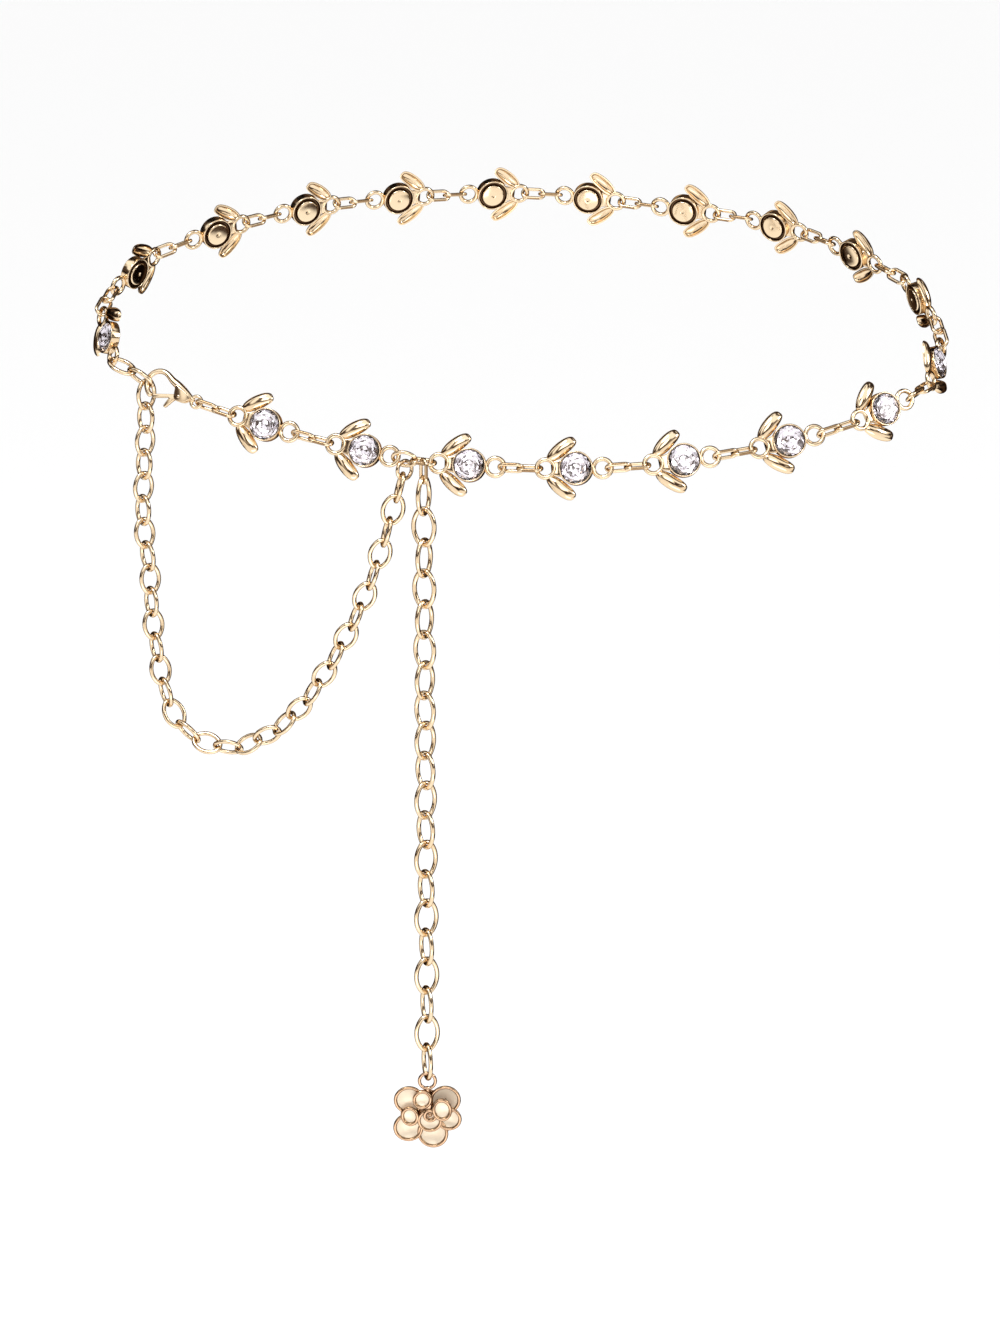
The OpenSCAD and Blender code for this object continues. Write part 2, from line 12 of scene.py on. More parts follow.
import bpy
import numpy as np
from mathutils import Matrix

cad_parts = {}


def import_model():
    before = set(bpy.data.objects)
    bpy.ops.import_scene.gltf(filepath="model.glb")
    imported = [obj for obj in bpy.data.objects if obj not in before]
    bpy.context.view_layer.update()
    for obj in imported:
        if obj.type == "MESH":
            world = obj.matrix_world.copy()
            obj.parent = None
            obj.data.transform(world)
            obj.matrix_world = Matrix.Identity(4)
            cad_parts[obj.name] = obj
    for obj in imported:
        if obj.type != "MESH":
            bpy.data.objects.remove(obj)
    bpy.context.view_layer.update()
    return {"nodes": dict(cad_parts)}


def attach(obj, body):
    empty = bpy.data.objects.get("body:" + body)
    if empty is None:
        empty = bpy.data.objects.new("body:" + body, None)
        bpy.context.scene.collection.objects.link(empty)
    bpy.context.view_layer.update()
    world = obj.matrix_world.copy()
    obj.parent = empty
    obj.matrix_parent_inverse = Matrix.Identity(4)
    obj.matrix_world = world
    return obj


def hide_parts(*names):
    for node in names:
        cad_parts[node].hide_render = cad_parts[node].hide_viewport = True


Colour = tuple[float, float, float, float]
Spot = tuple[float, float, float]
Span = tuple[float, float]
NodeLink = tuple[bpy.types.Node, str | int, bpy.types.Node, str | int]

LOG = logging.getLogger("waist_chain")
MM = 0.001
UP = np.array([0.0, 0.0, 1.0])
RIGHT = np.array([1.0, 0.0, 0.0])
FRONT = np.array([0.0, -1.0, 0.0])
WHITE: Colour = (1.0, 1.0, 1.0, 1.0)
ON_AXIS = 1e-6
OVAL_MEETING = math.radians(53.1301)
WALK_REACH = 2.4
HALVINGS = 26
END_TURNS = np.radians([90, 70, 50, 30, 14])


class Body(Enum):
    """The CAD bodies that pieces ride on."""

    CHAIN = "chain"
    LEVER = "lever"
    ROSE = "rose"


class LinkShape(Enum):
    """How the wire of a link runs."""

    STRAIGHT_SIDED = "straight sides and round ends"
    OVAL = "oval of four arcs"
    ROUND = "round"


class Face(IntEnum):
    """Which of its piece's finishes a face has."""

    MAIN = 0
    SECOND = 1
    THIRD = 2


# Vectors


def unit(v: np.ndarray) -> np.ndarray:
    """A vector of length one along v."""
    return v / np.linalg.norm(v)


def across(v: np.ndarray, axis: np.ndarray) -> np.ndarray:
    """The unit vector nearest to v at right angles to an axis."""
    return unit(v - (v @ axis) * axis)


def turned(v: np.ndarray, axis: np.ndarray, degrees: float) -> np.ndarray:
    """A vector at right angles to an axis, turned about it.

    Args:
        v: the vector before the turn.
        axis: unit axis.
        degrees: turn by the right-hand rule.

    Returns:
        cos(t) a + sin(t) (axis x a), where a is v made square to the axis.
    """
    a, t = across(v, axis), math.radians(degrees)
    return math.cos(t) * a + math.sin(t) * np.cross(axis, a)


@dataclass(frozen=True)
class Place:
    """A frame: its origin, its x axis and its z axis."""

    origin: np.ndarray
    x_axis: np.ndarray
    z_axis: np.ndarray

    def put(self, points: np.ndarray) -> np.ndarray:
        """Points of the frame in the part's frame: p = origin + x X + y (Z x X) + z Z."""
        y_axis = np.cross(self.z_axis, self.x_axis)
        return self.origin + points @ np.stack([self.x_axis, y_axis, self.z_axis])


def about_axis(points: np.ndarray, axis: Sequence[float], degrees: float) -> np.ndarray:
    """Points turned about an axis through the origin.

    Args:
        points: array of shape (..., 3).
        axis: direction of the axis.
        degrees: turn by the right-hand rule.

    Returns:
        p cos(t) + (k x p) sin(t) + k (k . p)(1 - cos(t)).
    """
    k, t = unit(np.array(axis, float)), math.radians(degrees)
    along = np.outer(points @ k, k).reshape(points.shape)
    return points * math.cos(t) + np.cross(k, points) * math.sin(t) + along * (1 - math.cos(t))


# Surfaces


@dataclass
class Skin:
    """One closed surface: its points, the corners of its faces one after another, and the faces' sizes."""

    points: np.ndarray
    corners: np.ndarray
    sizes: np.ndarray
    smooth: bool = True
    finish: int | np.ndarray = Face.MAIN

    def starts(self) -> np.ndarray:
        """Where each face's corners begin."""
        return np.concatenate([[0], np.cumsum(self.sizes)[:-1]])

    def triangles(self) -> np.ndarray:
        """The faces cut into triangles.

        Returns:
            Rows of three corners, each face a fan about its first corner.
        """
        starts = self.starts()
        parts = []
        for n in np.unique(self.sizes):
            rows = self.corners[starts[self.sizes == n][:, None] + np.arange(n)]
            parts += [rows[:, [0, i, i + 1]] for i in range(1, n - 1)]
        return np.concatenate(parts)

    def centres(self) -> np.ndarray:
        """The mean of each face's corners."""
        return np.add.reduceat(self.points[self.corners], self.starts()) / self.sizes[:, None]

    def outward(self) -> "Skin":
        """The skin with its faces pointing out.

        Returns:
            The skin, its faces turned round where the sum of a . (b x c) over its triangles is negative.
        """
        a, b, c = (self.points[self.triangles()[:, i]] for i in range(3))
        if np.einsum("ij,ij->", a, np.cross(b, c)) >= 0:
            return self
        starts = self.starts()
        corners = self.corners.copy()
        for n in np.unique(self.sizes):
            spots = starts[self.sizes == n][:, None] + np.arange(n)
            corners[spots] = self.corners[spots[:, ::-1]]
        return replace(self, corners=corners)

    def mapped(self, points: np.ndarray) -> "Skin":
        """The same faces on other points."""
        return replace(self, points=points)

    def moved(self, place: Place) -> "Skin":
        """The skin put into a frame."""
        return self.mapped(place.put(self.points))

    def shifted(self, shift: Sequence[float]) -> "Skin":
        """The skin moved without a turn."""
        return self.mapped(self.points + np.array(shift, float))


def grid_skin(points: np.ndarray, wrap_rows: bool = False, poles: tuple[bool, bool] = (False, False),
              caps: tuple[bool, bool] = (False, False)) -> Skin:
    """A closed surface over a grid whose columns always wrap.

    Args:
        points: array (rows, columns, 3).
        wrap_rows: the last row joins the first.
        poles: the first and the last row are each one point.
        caps: the first and the last row are each closed by one flat face.

    Returns:
        The surface, its faces pointing out.
    """
    rows, cols = points.shape[:2]
    index = np.arange(rows * cols).reshape(rows, cols)
    for end, pole in zip((0, -1), poles):
        if pole:
            index[end] = index[end, 0]
    here = index if wrap_rows else index[:-1]
    there = np.roll(index, -1, axis=0) if wrap_rows else index[1:]
    quads = np.stack([here, np.roll(here, -1, 1), np.roll(there, -1, 1), there], axis=-1)
    body = quads[int(poles[0]):len(quads) - int(poles[1])].reshape(-1, 4)
    parts, sizes = [body.ravel()], [np.full(len(body), 4)]
    for end, pole, kept in ((0, poles[0], [0, 2, 3]), (-1, poles[1], [0, 1, 2])):
        if pole:
            parts.append(quads[end][:, kept].ravel())
            sizes.append(np.full(cols, 3))
    for end, cap, step in ((0, caps[0], -1), (-1, caps[1], 1)):
        if cap:
            parts.append(index[end][::step])
            sizes.append(np.array([cols]))
    used, corners = np.unique(np.concatenate(parts), return_inverse=True)
    return Skin(points.reshape(-1, 3)[used], corners.ravel(), np.concatenate(sizes)).outward()


def ring_points(count: int) -> tuple[np.ndarray, np.ndarray]:
    """Cosines and sines of equal steps round a circle."""
    t = np.linspace(0, 2 * np.pi, count, endpoint=False)
    return np.cos(t), np.sin(t)


def lathe(profile: np.ndarray, count: int = 64) -> Skin:
    """A profile spun about z: (r cos t, r sin t, z), from axis to axis, or a closed loop clear of the axis.

    Args:
        profile: rows of radius and height.
        count: steps round.

    Returns:
        The closed surface.
    """
    c, s = ring_points(count)
    r, z = profile[:, 0], profile[:, 1]
    points = np.stack([np.outer(r, c), np.outer(r, s), np.repeat(z[:, None], count, 1)], axis=-1)
    on_axis = (bool(r[0] < ON_AXIS), bool(r[-1] < ON_AXIS))
    return grid_skin(points, wrap_rows=not any(on_axis), poles=on_axis)


def planar_tube(path: np.ndarray, radius: np.ndarray | float, closed: bool, sides: int = 14) -> Skin:
    """Round wire along a path in the xy plane: p + r (cos v N + sin v Z), N square to the path in its plane.

    Args:
        path: rows of x and y.
        radius: wire radius, one or one for each row.
        closed: the path's last point joins its first.
        sides: points round the wire.

    Returns:
        The surface, with round ends where the path is open.
    """
    radius = np.broadcast_to(np.asarray(radius, float), (len(path),)).copy()
    if closed:
        tangent = np.roll(path, -1, 0) - np.roll(path, 1, 0)
    else:
        tangent = np.gradient(path, axis=0)
        t0, t1 = unit(tangent[0]), unit(tangent[-1])
        reach, shrink, steps = np.sin(END_TURNS), np.cos(END_TURNS), len(END_TURNS)
        path = np.vstack([path[0] - np.outer(reach * radius[0], t0), path,
                          path[-1] + np.outer(reach[::-1] * radius[-1], t1)])
        tangent = np.vstack([np.repeat(t0[None], steps, 0), tangent, np.repeat(t1[None], steps, 0)])
        radius = np.concatenate([shrink * radius[0], radius, shrink[::-1] * radius[-1]])
    tangent /= np.linalg.norm(tangent, axis=1, keepdims=True)
    normal = np.stack([-tangent[:, 1], tangent[:, 0]], axis=1)
    c, s = ring_points(sides)
    xy = path[:, None] + radius[:, None, None] * c[None, :, None] * normal[:, None]
    z = radius[:, None] * s[None]
    return grid_skin(np.concatenate([xy, z[..., None]], -1), wrap_rows=closed, poles=(not closed, not closed))


def link_path(shape: LinkShape, a: float, b: float, count: int = 64) -> np.ndarray:
    """The middle line of a link's wire in its own plane.

    Args:
        shape: how the wire runs.
        a: half length to the wire's middle.
        b: half width to the wire's middle.
        count: points on the line, a multiple of four.

    Returns:
        Rows of x and y. Round: a (cos t, sin t). Straight sided: two half circles of radius b about
        (+-(a - b), 0). Oval: end arcs about (+-3k, 0) and side arcs about (0, -+4k), k = (a - b) / 2, that
        meet in the directions of a 3, 4, 5 triangle.
    """
    if shape is LinkShape.ROUND:
        return a * np.stack(ring_points(count), axis=1)
    quarter = count // 4
    if shape is LinkShape.STRAIGHT_SIDED:
        t = np.linspace(0, np.pi / 2, quarter - 1)
        bow = np.stack([a - b + b * np.cos(t), b * np.sin(t)], axis=1)
        one = np.vstack([bow, [[0.5 * (a - b), b]]])
    else:
        k = (a - b) / 2
        end_r, side_r = b - k, b + 4 * k
        ends = np.linspace(0, OVAL_MEETING, quarter // 2, endpoint=False)
        sides = np.linspace(OVAL_MEETING, np.pi / 2, quarter - quarter // 2, endpoint=False)
        one = np.vstack([np.stack([3 * k + end_r * np.cos(ends), end_r * np.sin(ends)], axis=1),
                         np.stack([side_r * np.cos(sides), side_r * np.sin(sides) - 4 * k], axis=1)])
    right = one[1:]
    half = np.vstack([one[:1], right, [[0.0, b]], right[::-1] * [-1, 1], one[:1] * [-1, 1]])
    return np.vstack([half, half[-2:0:-1] * [1, -1]])


def wire_ring(radius: float, wire: float, count: int, middle: float = 0.0) -> Skin:
    """A ring of round wire in the xy plane.

    Args:
        radius: radius to the wire's middle.
        wire: the wire's diameter.
        count: points round the ring.
        middle: the ring's middle on x.

    Returns:
        The closed ring.
    """
    ring = planar_tube(link_path(LinkShape.ROUND, radius, radius, count), wire / 2, True, 16)
    return ring.shifted((middle, 0, 0))


def plate(outline: np.ndarray, low: float, high: float, bevel: float) -> Skin:
    """A flat plate with rounded edges: its outline drawn in by bevel (1 - cos t) as z turns the edge.

    Args:
        outline: rows of x and y round the plate, evenly spaced.
        low: lower face.
        high: upper face.
        bevel: radius of the edges.

    Returns:
        The closed plate.
    """
    area = np.sum(outline[:, 0] * np.roll(outline[:, 1], -1) - np.roll(outline[:, 0], -1) * outline[:, 1])
    tangent = np.roll(outline, -1, 0) - np.roll(outline, 1, 0)
    tangent /= np.linalg.norm(tangent, axis=1, keepdims=True)
    inward = np.stack([-tangent[:, 1], tangent[:, 0]], axis=1) * np.sign(area)
    t = np.linspace(0, np.pi / 2, 5)
    inset = np.concatenate([bevel * (1 - np.sin(t)), bevel * (1 - np.sin(t[::-1]))])
    height = np.concatenate([low + bevel * (1 - np.cos(t)), high - bevel * (1 - np.cos(t[::-1]))])
    xy = outline[None] + inset[:, None, None] * inward[None]
    z = np.repeat(height[:, None], len(outline), 1)
    return grid_skin(np.concatenate([xy, z[..., None]], -1), caps=(True, True))


def rounded(outline: Sequence[Sequence[float]], count: int, ease: int) -> np.ndarray:
    """A polygon's outline in even steps, its corners eased by a running mean of neighbours.

    Args:
        outline: corners in order.
        count: points round the outline.
        ease: rounds of the mean (previous + 2 own + next) / 4.

    Returns:
        Rows of x and y.
    """
    p = np.array(outline, float)
    lengths = np.linalg.norm(np.roll(p, -1, 0) - p, axis=1)
    at = np.concatenate([[0], np.cumsum(lengths)])
    closed = np.vstack([p, p[:1]])
    s = np.linspace(0, at[-1], count, endpoint=False)
    points = np.stack([np.interp(s, at, closed[:, i]) for i in range(2)], axis=1)
    for _ in range(ease):
        points = (np.roll(points, 1, 0) + 2 * points + np.roll(points, -1, 0)) / 4
    return points


def arc(middle: Sequence[float], radius: float, start: float, end: float, count: int) -> np.ndarray:
    """Points of a circle arc, middle + r (cos t, sin t), angles in degrees."""
    t = np.radians(np.linspace(start, end, count))
    return np.array(middle) + radius * np.stack([np.cos(t), np.sin(t)], axis=1)


def ball(middle: Sequence[float], radius: float, count: int = 24) -> Skin:
    """A round ball: the lathe of a half circle.

    Args:
        middle: the ball's middle.
        radius: its radius.
        count: steps round.

    Returns:
        The closed ball.
    """
    t = np.linspace(-np.pi / 2, np.pi / 2, count // 2 + 1)
    profile = radius * np.stack([np.cos(t), np.sin(t)], axis=1)
    profile[[0, -1], 0] = 0
    return lathe(profile, count).shifted(middle)


# Finishes


def fresh_material(name: str,
                   sockets: dict[str, float | Colour]) -> tuple[bpy.types.Material, bpy.types.Node]:
    """A node material and its Principled shader.

    Args:
        name: the material's name.
        sockets: values of the shader's own sockets.

    Returns:
        The material and the shader.
    """
    material = bpy.data.materials.new(name)
    material.use_nodes = True
    shader = material.node_tree.nodes["Principled BSDF"]
    for socket, value in sockets.items():
        shader.inputs[socket].default_value = value
    return material, shader


def colour_mix(tree: bpy.types.NodeTree, blend: str = "MIX") -> bpy.types.Node:
    """A node that mixes two colours.

    Args:
        tree: the node tree.
        blend: Blender's name for the way of mixing.

    Returns:
        The node.
    """
    node = tree.nodes.new("ShaderNodeMix")
    node.data_type, node.blend_type = "RGBA", blend
    return node


def noise(tree: bpy.types.NodeTree, scale: float, detail: float) -> bpy.types.Node:
    """A noise texture.

    Args:
        tree: the node tree.
        scale: how fine it is.
        detail: how many finer octaves it has.

    Returns:
        The node.
    """
    node = tree.nodes.new("ShaderNodeTexNoise")
    node.inputs["Scale"].default_value, node.inputs["Detail"].default_value = scale, detail
    return node


def stretch(tree: bpy.types.NodeTree, before: Span, after: Span) -> bpy.types.Node:
    """A node that maps one range of values to another.

    Args:
        tree: the node tree.
        before: the range that comes in.
        after: the range that goes out.

    Returns:
        The node.
    """
    node = tree.nodes.new("ShaderNodeMapRange")
    node.inputs["From Min"].default_value, node.inputs["From Max"].default_value = before
    node.inputs["To Min"].default_value, node.inputs["To Max"].default_value = after
    return node


def wire_nodes(tree: bpy.types.NodeTree, links: Sequence[NodeLink]) -> None:
    """Links nodes: each entry is a node, its output, the next node and that one's input."""
    for source, output, target, socket in links:
        tree.links.new(source.outputs[output], target.inputs[socket])


@dataclass(frozen=True)
class GoldPlate:
    """Gold plate with the faint unevenness of a cast and tumbled surface."""

    name: str
    colour: Colour
    warm: Colour
    gloss: Span = (0.07, 0.17)
    metallic: float = 1.0
    edge: Colour = (0.3, 0.17, 0.09, 1.0)
    tint_scale: float = 60.0
    gloss_scale: float = 420.0
    bump_scale: float = 520.0
    bump_strength: float = 0.02
    bump_height: float = 0.0004

    def material(self) -> bpy.types.Material:
        """Builds the metal: noise moves its tint and gloss a little, and a soft bump breaks its reflections.

        Returns:
            The material.
        """
        material, shader = fresh_material(self.name, {"Metallic": self.metallic, "Specular Tint": self.edge})
        tree = material.node_tree
        where = tree.nodes.new("ShaderNodeTexCoord")
        tint_noise = noise(tree, self.tint_scale, 2.0)
        gloss_noise = noise(tree, self.gloss_scale, 2.0)
        bump_noise = noise(tree, self.bump_scale, 1.0)
        tint = colour_mix(tree)
        tint.inputs["A"].default_value, tint.inputs["B"].default_value = self.colour, self.warm
        gloss = stretch(tree, (0.0, 1.0), self.gloss)
        bump = tree.nodes.new("ShaderNodeBump")
        bump.inputs["Strength"].default_value = self.bump_strength
        bump.inputs["Distance"].default_value = self.bump_height
        wire_nodes(tree, (
            (where, "Object", tint_noise, "Vector"), (where, "Object", gloss_noise, "Vector"),
            (where, "Object", bump_noise, "Vector"), (tint_noise, "Fac", tint, "Factor"),
            (tint, "Result", shader, "Base Color"), (gloss_noise, "Fac", gloss, "Value"),
            (gloss, "Result", shader, "Roughness"), (bump_noise, "Fac", bump, "Height"),
            (bump, "Normal", shader, "Normal")))
        return material


@dataclass(frozen=True)
class ClearGlass:
    """Cut glass of a stone's crown, with a faint lilac cast."""

    colour: Colour = (0.98, 0.95, 0.985, 1.0)
    index: float = 1.56

    def material(self) -> bpy.types.Material:
        """Builds the glass on the shader's own sockets."""
        return fresh_material("clear_cut_glass", {"Base Color": self.colour, "Roughness": 0.0,
                                                  "IOR": self.index, "Transmission Weight": 1.0})[0]


@dataclass(frozen=True)
class SilverFoil:
    """Mirror foil on the back of a stone."""

    colour: Colour = (0.97, 0.95, 0.98, 1.0)
    roughness: float = 0.1

    def material(self) -> bpy.types.Material:
        """Builds the foil on the shader's own sockets."""
        return fresh_material("silver_foil", {"Base Color": self.colour, "Metallic": 1.0,
                                              "Roughness": self.roughness})[0]


@dataclass(frozen=True)
class PaleFloor:
    """Matt white studio floor."""

    colour: Colour = (0.93, 0.93, 0.93, 1.0)
    roughness: float = 0.9
    shine: float = 0.1

    def material(self) -> bpy.types.Material:
        """Builds the floor's matt white."""
        return fresh_material("pale_floor", {"Base Color": self.colour, "Roughness": self.roughness,
                                             "Specular IOR Level": self.shine})[0]


POLISHED = GoldPlate("polished_pale_gold", (0.92, 0.77, 0.56, 1.0), (0.86, 0.65, 0.41, 1.0))
SATIN = GoldPlate("satin_pale_gold", (0.98, 0.86, 0.7, 1.0), (0.93, 0.78, 0.59, 1.0), (0.32, 0.4), 0.5)
ROSY = GoldPlate("rosy_gold", (0.64, 0.44, 0.3, 1.0), (0.56, 0.35, 0.21, 1.0))
# Painted shade: a dark brown gold that stands in for the shade and dark reflections in the cup's groove.
PAINTED_GROOVE_SHADE = GoldPlate("dark_recess", (0.16, 0.09, 0.045, 1.0), (0.1, 0.055, 0.03, 1.0), (0.3, 0.42))
# Painted shade: a darker gold that stands in for shade and dark reflections on link sides, petal beads and
# the bud.
PAINTED_SHADE = GoldPlate("painted_shade_gold", (0.42, 0.29, 0.16, 1.0), (0.35, 0.22, 0.12, 1.0), (0.2, 0.3))


class Finishes:
    """The finishes in use, built once."""

    def __init__(self) -> None:
        """Builds each material."""
        self.gold, self.satin, self.rosy = POLISHED.material(), SATIN.material(), ROSY.material()
        # The groove's gold and the darker sides' gold are painted shade.
        self.recess, self.painted_shade = PAINTED_GROOVE_SHADE.material(), PAINTED_SHADE.material()
        self.glass, self.foil = ClearGlass().material(), SilverFoil().material()


def make_piece(name: str, skins: Sequence[Skin], nodes: Sequence[str], body: Body,
               finishes: Sequence[bpy.types.Material], sharp: float = 38.0) -> bpy.types.Object:
    """Joins skins into one piece that replaces CAD nodes and rides on their body.

    Args:
        name: the piece's name.
        skins: closed surfaces in millimetres in the part's frame.
        nodes: CAD nodes that the piece stands for.
        body: the body that it rides on.
        finishes: materials, which the skins' finish numbers name.
        sharp: edges bent more than this many degrees stay sharp.

    Returns:
        The object, its place in its mesh.
    """
    shift = np.concatenate([[0], np.cumsum([len(s.points) for s in skins])[:-1]])
    corners = np.concatenate([s.corners + d for s, d in zip(skins, shift)]).astype(np.int32)
    sizes = np.concatenate([s.sizes for s in skins])
    chosen = np.concatenate([np.broadcast_to(s.finish, s.sizes.shape) for s in skins]).astype(np.int32)
    points = np.vstack([s.points for s in skins])
    mesh = bpy.data.meshes.new(name)
    mesh.vertices.add(len(points))
    mesh.vertices.foreach_set("co", (points * MM).astype(np.float32).ravel())
    mesh.loops.add(len(corners))
    mesh.polygons.add(len(sizes))
    mesh.polygons.foreach_set("loop_start", np.concatenate([[0], np.cumsum(sizes)[:-1]]).astype(np.int32))
    mesh.polygons.foreach_set("vertices", corners)
    for finish in finishes:
        mesh.materials.append(finish)
    mesh.polygons.foreach_set("material_index", chosen)
    mesh.update(calc_edges=True)
    mesh.validate()
    mesh.set_sharp_from_angle(angle=math.radians(sharp))
    mesh.polygons.foreach_set("use_smooth", np.concatenate([np.full(len(s.sizes), s.smooth) for s in skins]))
    piece = bpy.data.objects.new(name, mesh)
    bpy.context.scene.collection.objects.link(piece)
    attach(piece, body.value)
    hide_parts(*nodes)
    LOG.info("%s: %d faces", name, len(sizes))
    return piece


# Routes and layout


@dataclass
class Route:
    """A smooth curve through points: four neighbours weigh each place between the middle two."""

    points: np.ndarray
    closed: bool

    def __post_init__(self) -> None:
        """An open route gets one more point past each end, in line."""
        p = self.points
        if not self.closed:
            self.padded = np.vstack([2 * p[0] - p[1], p, 2 * p[-1] - p[-2]])

    def at(self, u: float) -> np.ndarray:
        """A place on the route.

        Args:
            u: the place, a whole number at each of the route's points.

        Returns:
            (2b + (c - a)f + (2a - 5b + 4c - d)f^2 + (3b - a - 3c + d)f^3) / 2, f past the whole number.
        """
        n = len(self.points)
        if self.closed:
            i = math.floor(u)
            a, b, c, d = (self.points[(i + j) % n] for j in (-1, 0, 1, 2))
        else:
            i = max(0, min(n - 2, math.floor(u)))
            a, b, c, d = self.padded[i:i + 4]
        f = u - i
        square, cube = 2 * a - 5 * b + 4 * c - d, 3 * b - a - 3 * c + d
        return 0.5 * (2 * b + (c - a) * f + square * f * f + cube * f ** 3)

    def walk(self, steps: Sequence[float]) -> list[float]:
        """Places reached by straight steps, each found by halving an interval.

        Args:
            steps: lengths of the steps.

        Returns:
            The start and the place after each step.
        """
        places = [0.0]
        for step in steps:
            start, low, high = self.at(places[-1]), places[-1], places[-1] + WALK_REACH
            for _ in range(HALVINGS):
                middle = (low + high) / 2
                if np.linalg.norm(self.at(middle) - start) < step:
                    low = middle
                else:
                    high = middle
            places.append((low + high) / 2)
        return places


def secant(miss: Callable[[float], float], s0: float, s1: float, tries: int) -> float:
    """Where a function is zero, by the secant rule.

    Args:
        miss: the function.
        s0: first guess.
        s1: second guess.
        tries: most steps.

    Returns:
        The root.
    """
    m0, m1 = miss(s0), miss(s1)
    for _ in range(tries):
        if abs(m1 - m0) < 1e-9:
            break
        s0, m0, s1 = s1, m1, s1 - m1 * (s1 - s0) / (m1 - m0)
        m1 = miss(s1)
    return s1


@dataclass(frozen=True)
class LinkSize:
    """A link's outer length, outer width, wire and shape, and how much thicker its wire is drawn.

    side_depth and side_lap bound the outer sides of a straight-sided link, which carry painted shade for
    their dark reflections.
    """

    length: float
    width: float
    wire: float
    shape: LinkShape
    fuller: float
    side_depth: float = 0.1
    side_lap: float = 0.3

    @property
    def a(self) -> float:
        """Half length to the wire's middle."""
        return (self.length - self.wire) / 2

    @property
    def b(self) -> float:
        """Half width to the wire's middle."""
        return (self.width - self.wire) / 2

    def skin(self, place: Place) -> Skin:
        """The link's wire in a frame, fuller on its outside alone, so that what hooks in keeps its gap.

        Args:
            place: the link's frame.

        Returns:
            The wire, the outer sides of a straight-sided link in the second finish, a painted shade.
        """
        out = self.fuller / 2
        path = link_path(self.shape, self.a + out, self.b + out)
        skin = planar_tube(path, self.wire / 2 + out, True)
        if self.shape is LinkShape.STRAIGHT_SIDED:
            x, y, _ = np.abs(skin.centres()).T
            # Painted shade: the outer straight sides get a darker gold in place of the dark reflections of a
            # polished link.
            on_side = (y > self.width / 2 - self.side_depth) & (x < self.a - self.b + self.side_lap)
            skin.finish = np.where(on_side, Face.SECOND, Face.MAIN)
        return skin.moved(place)


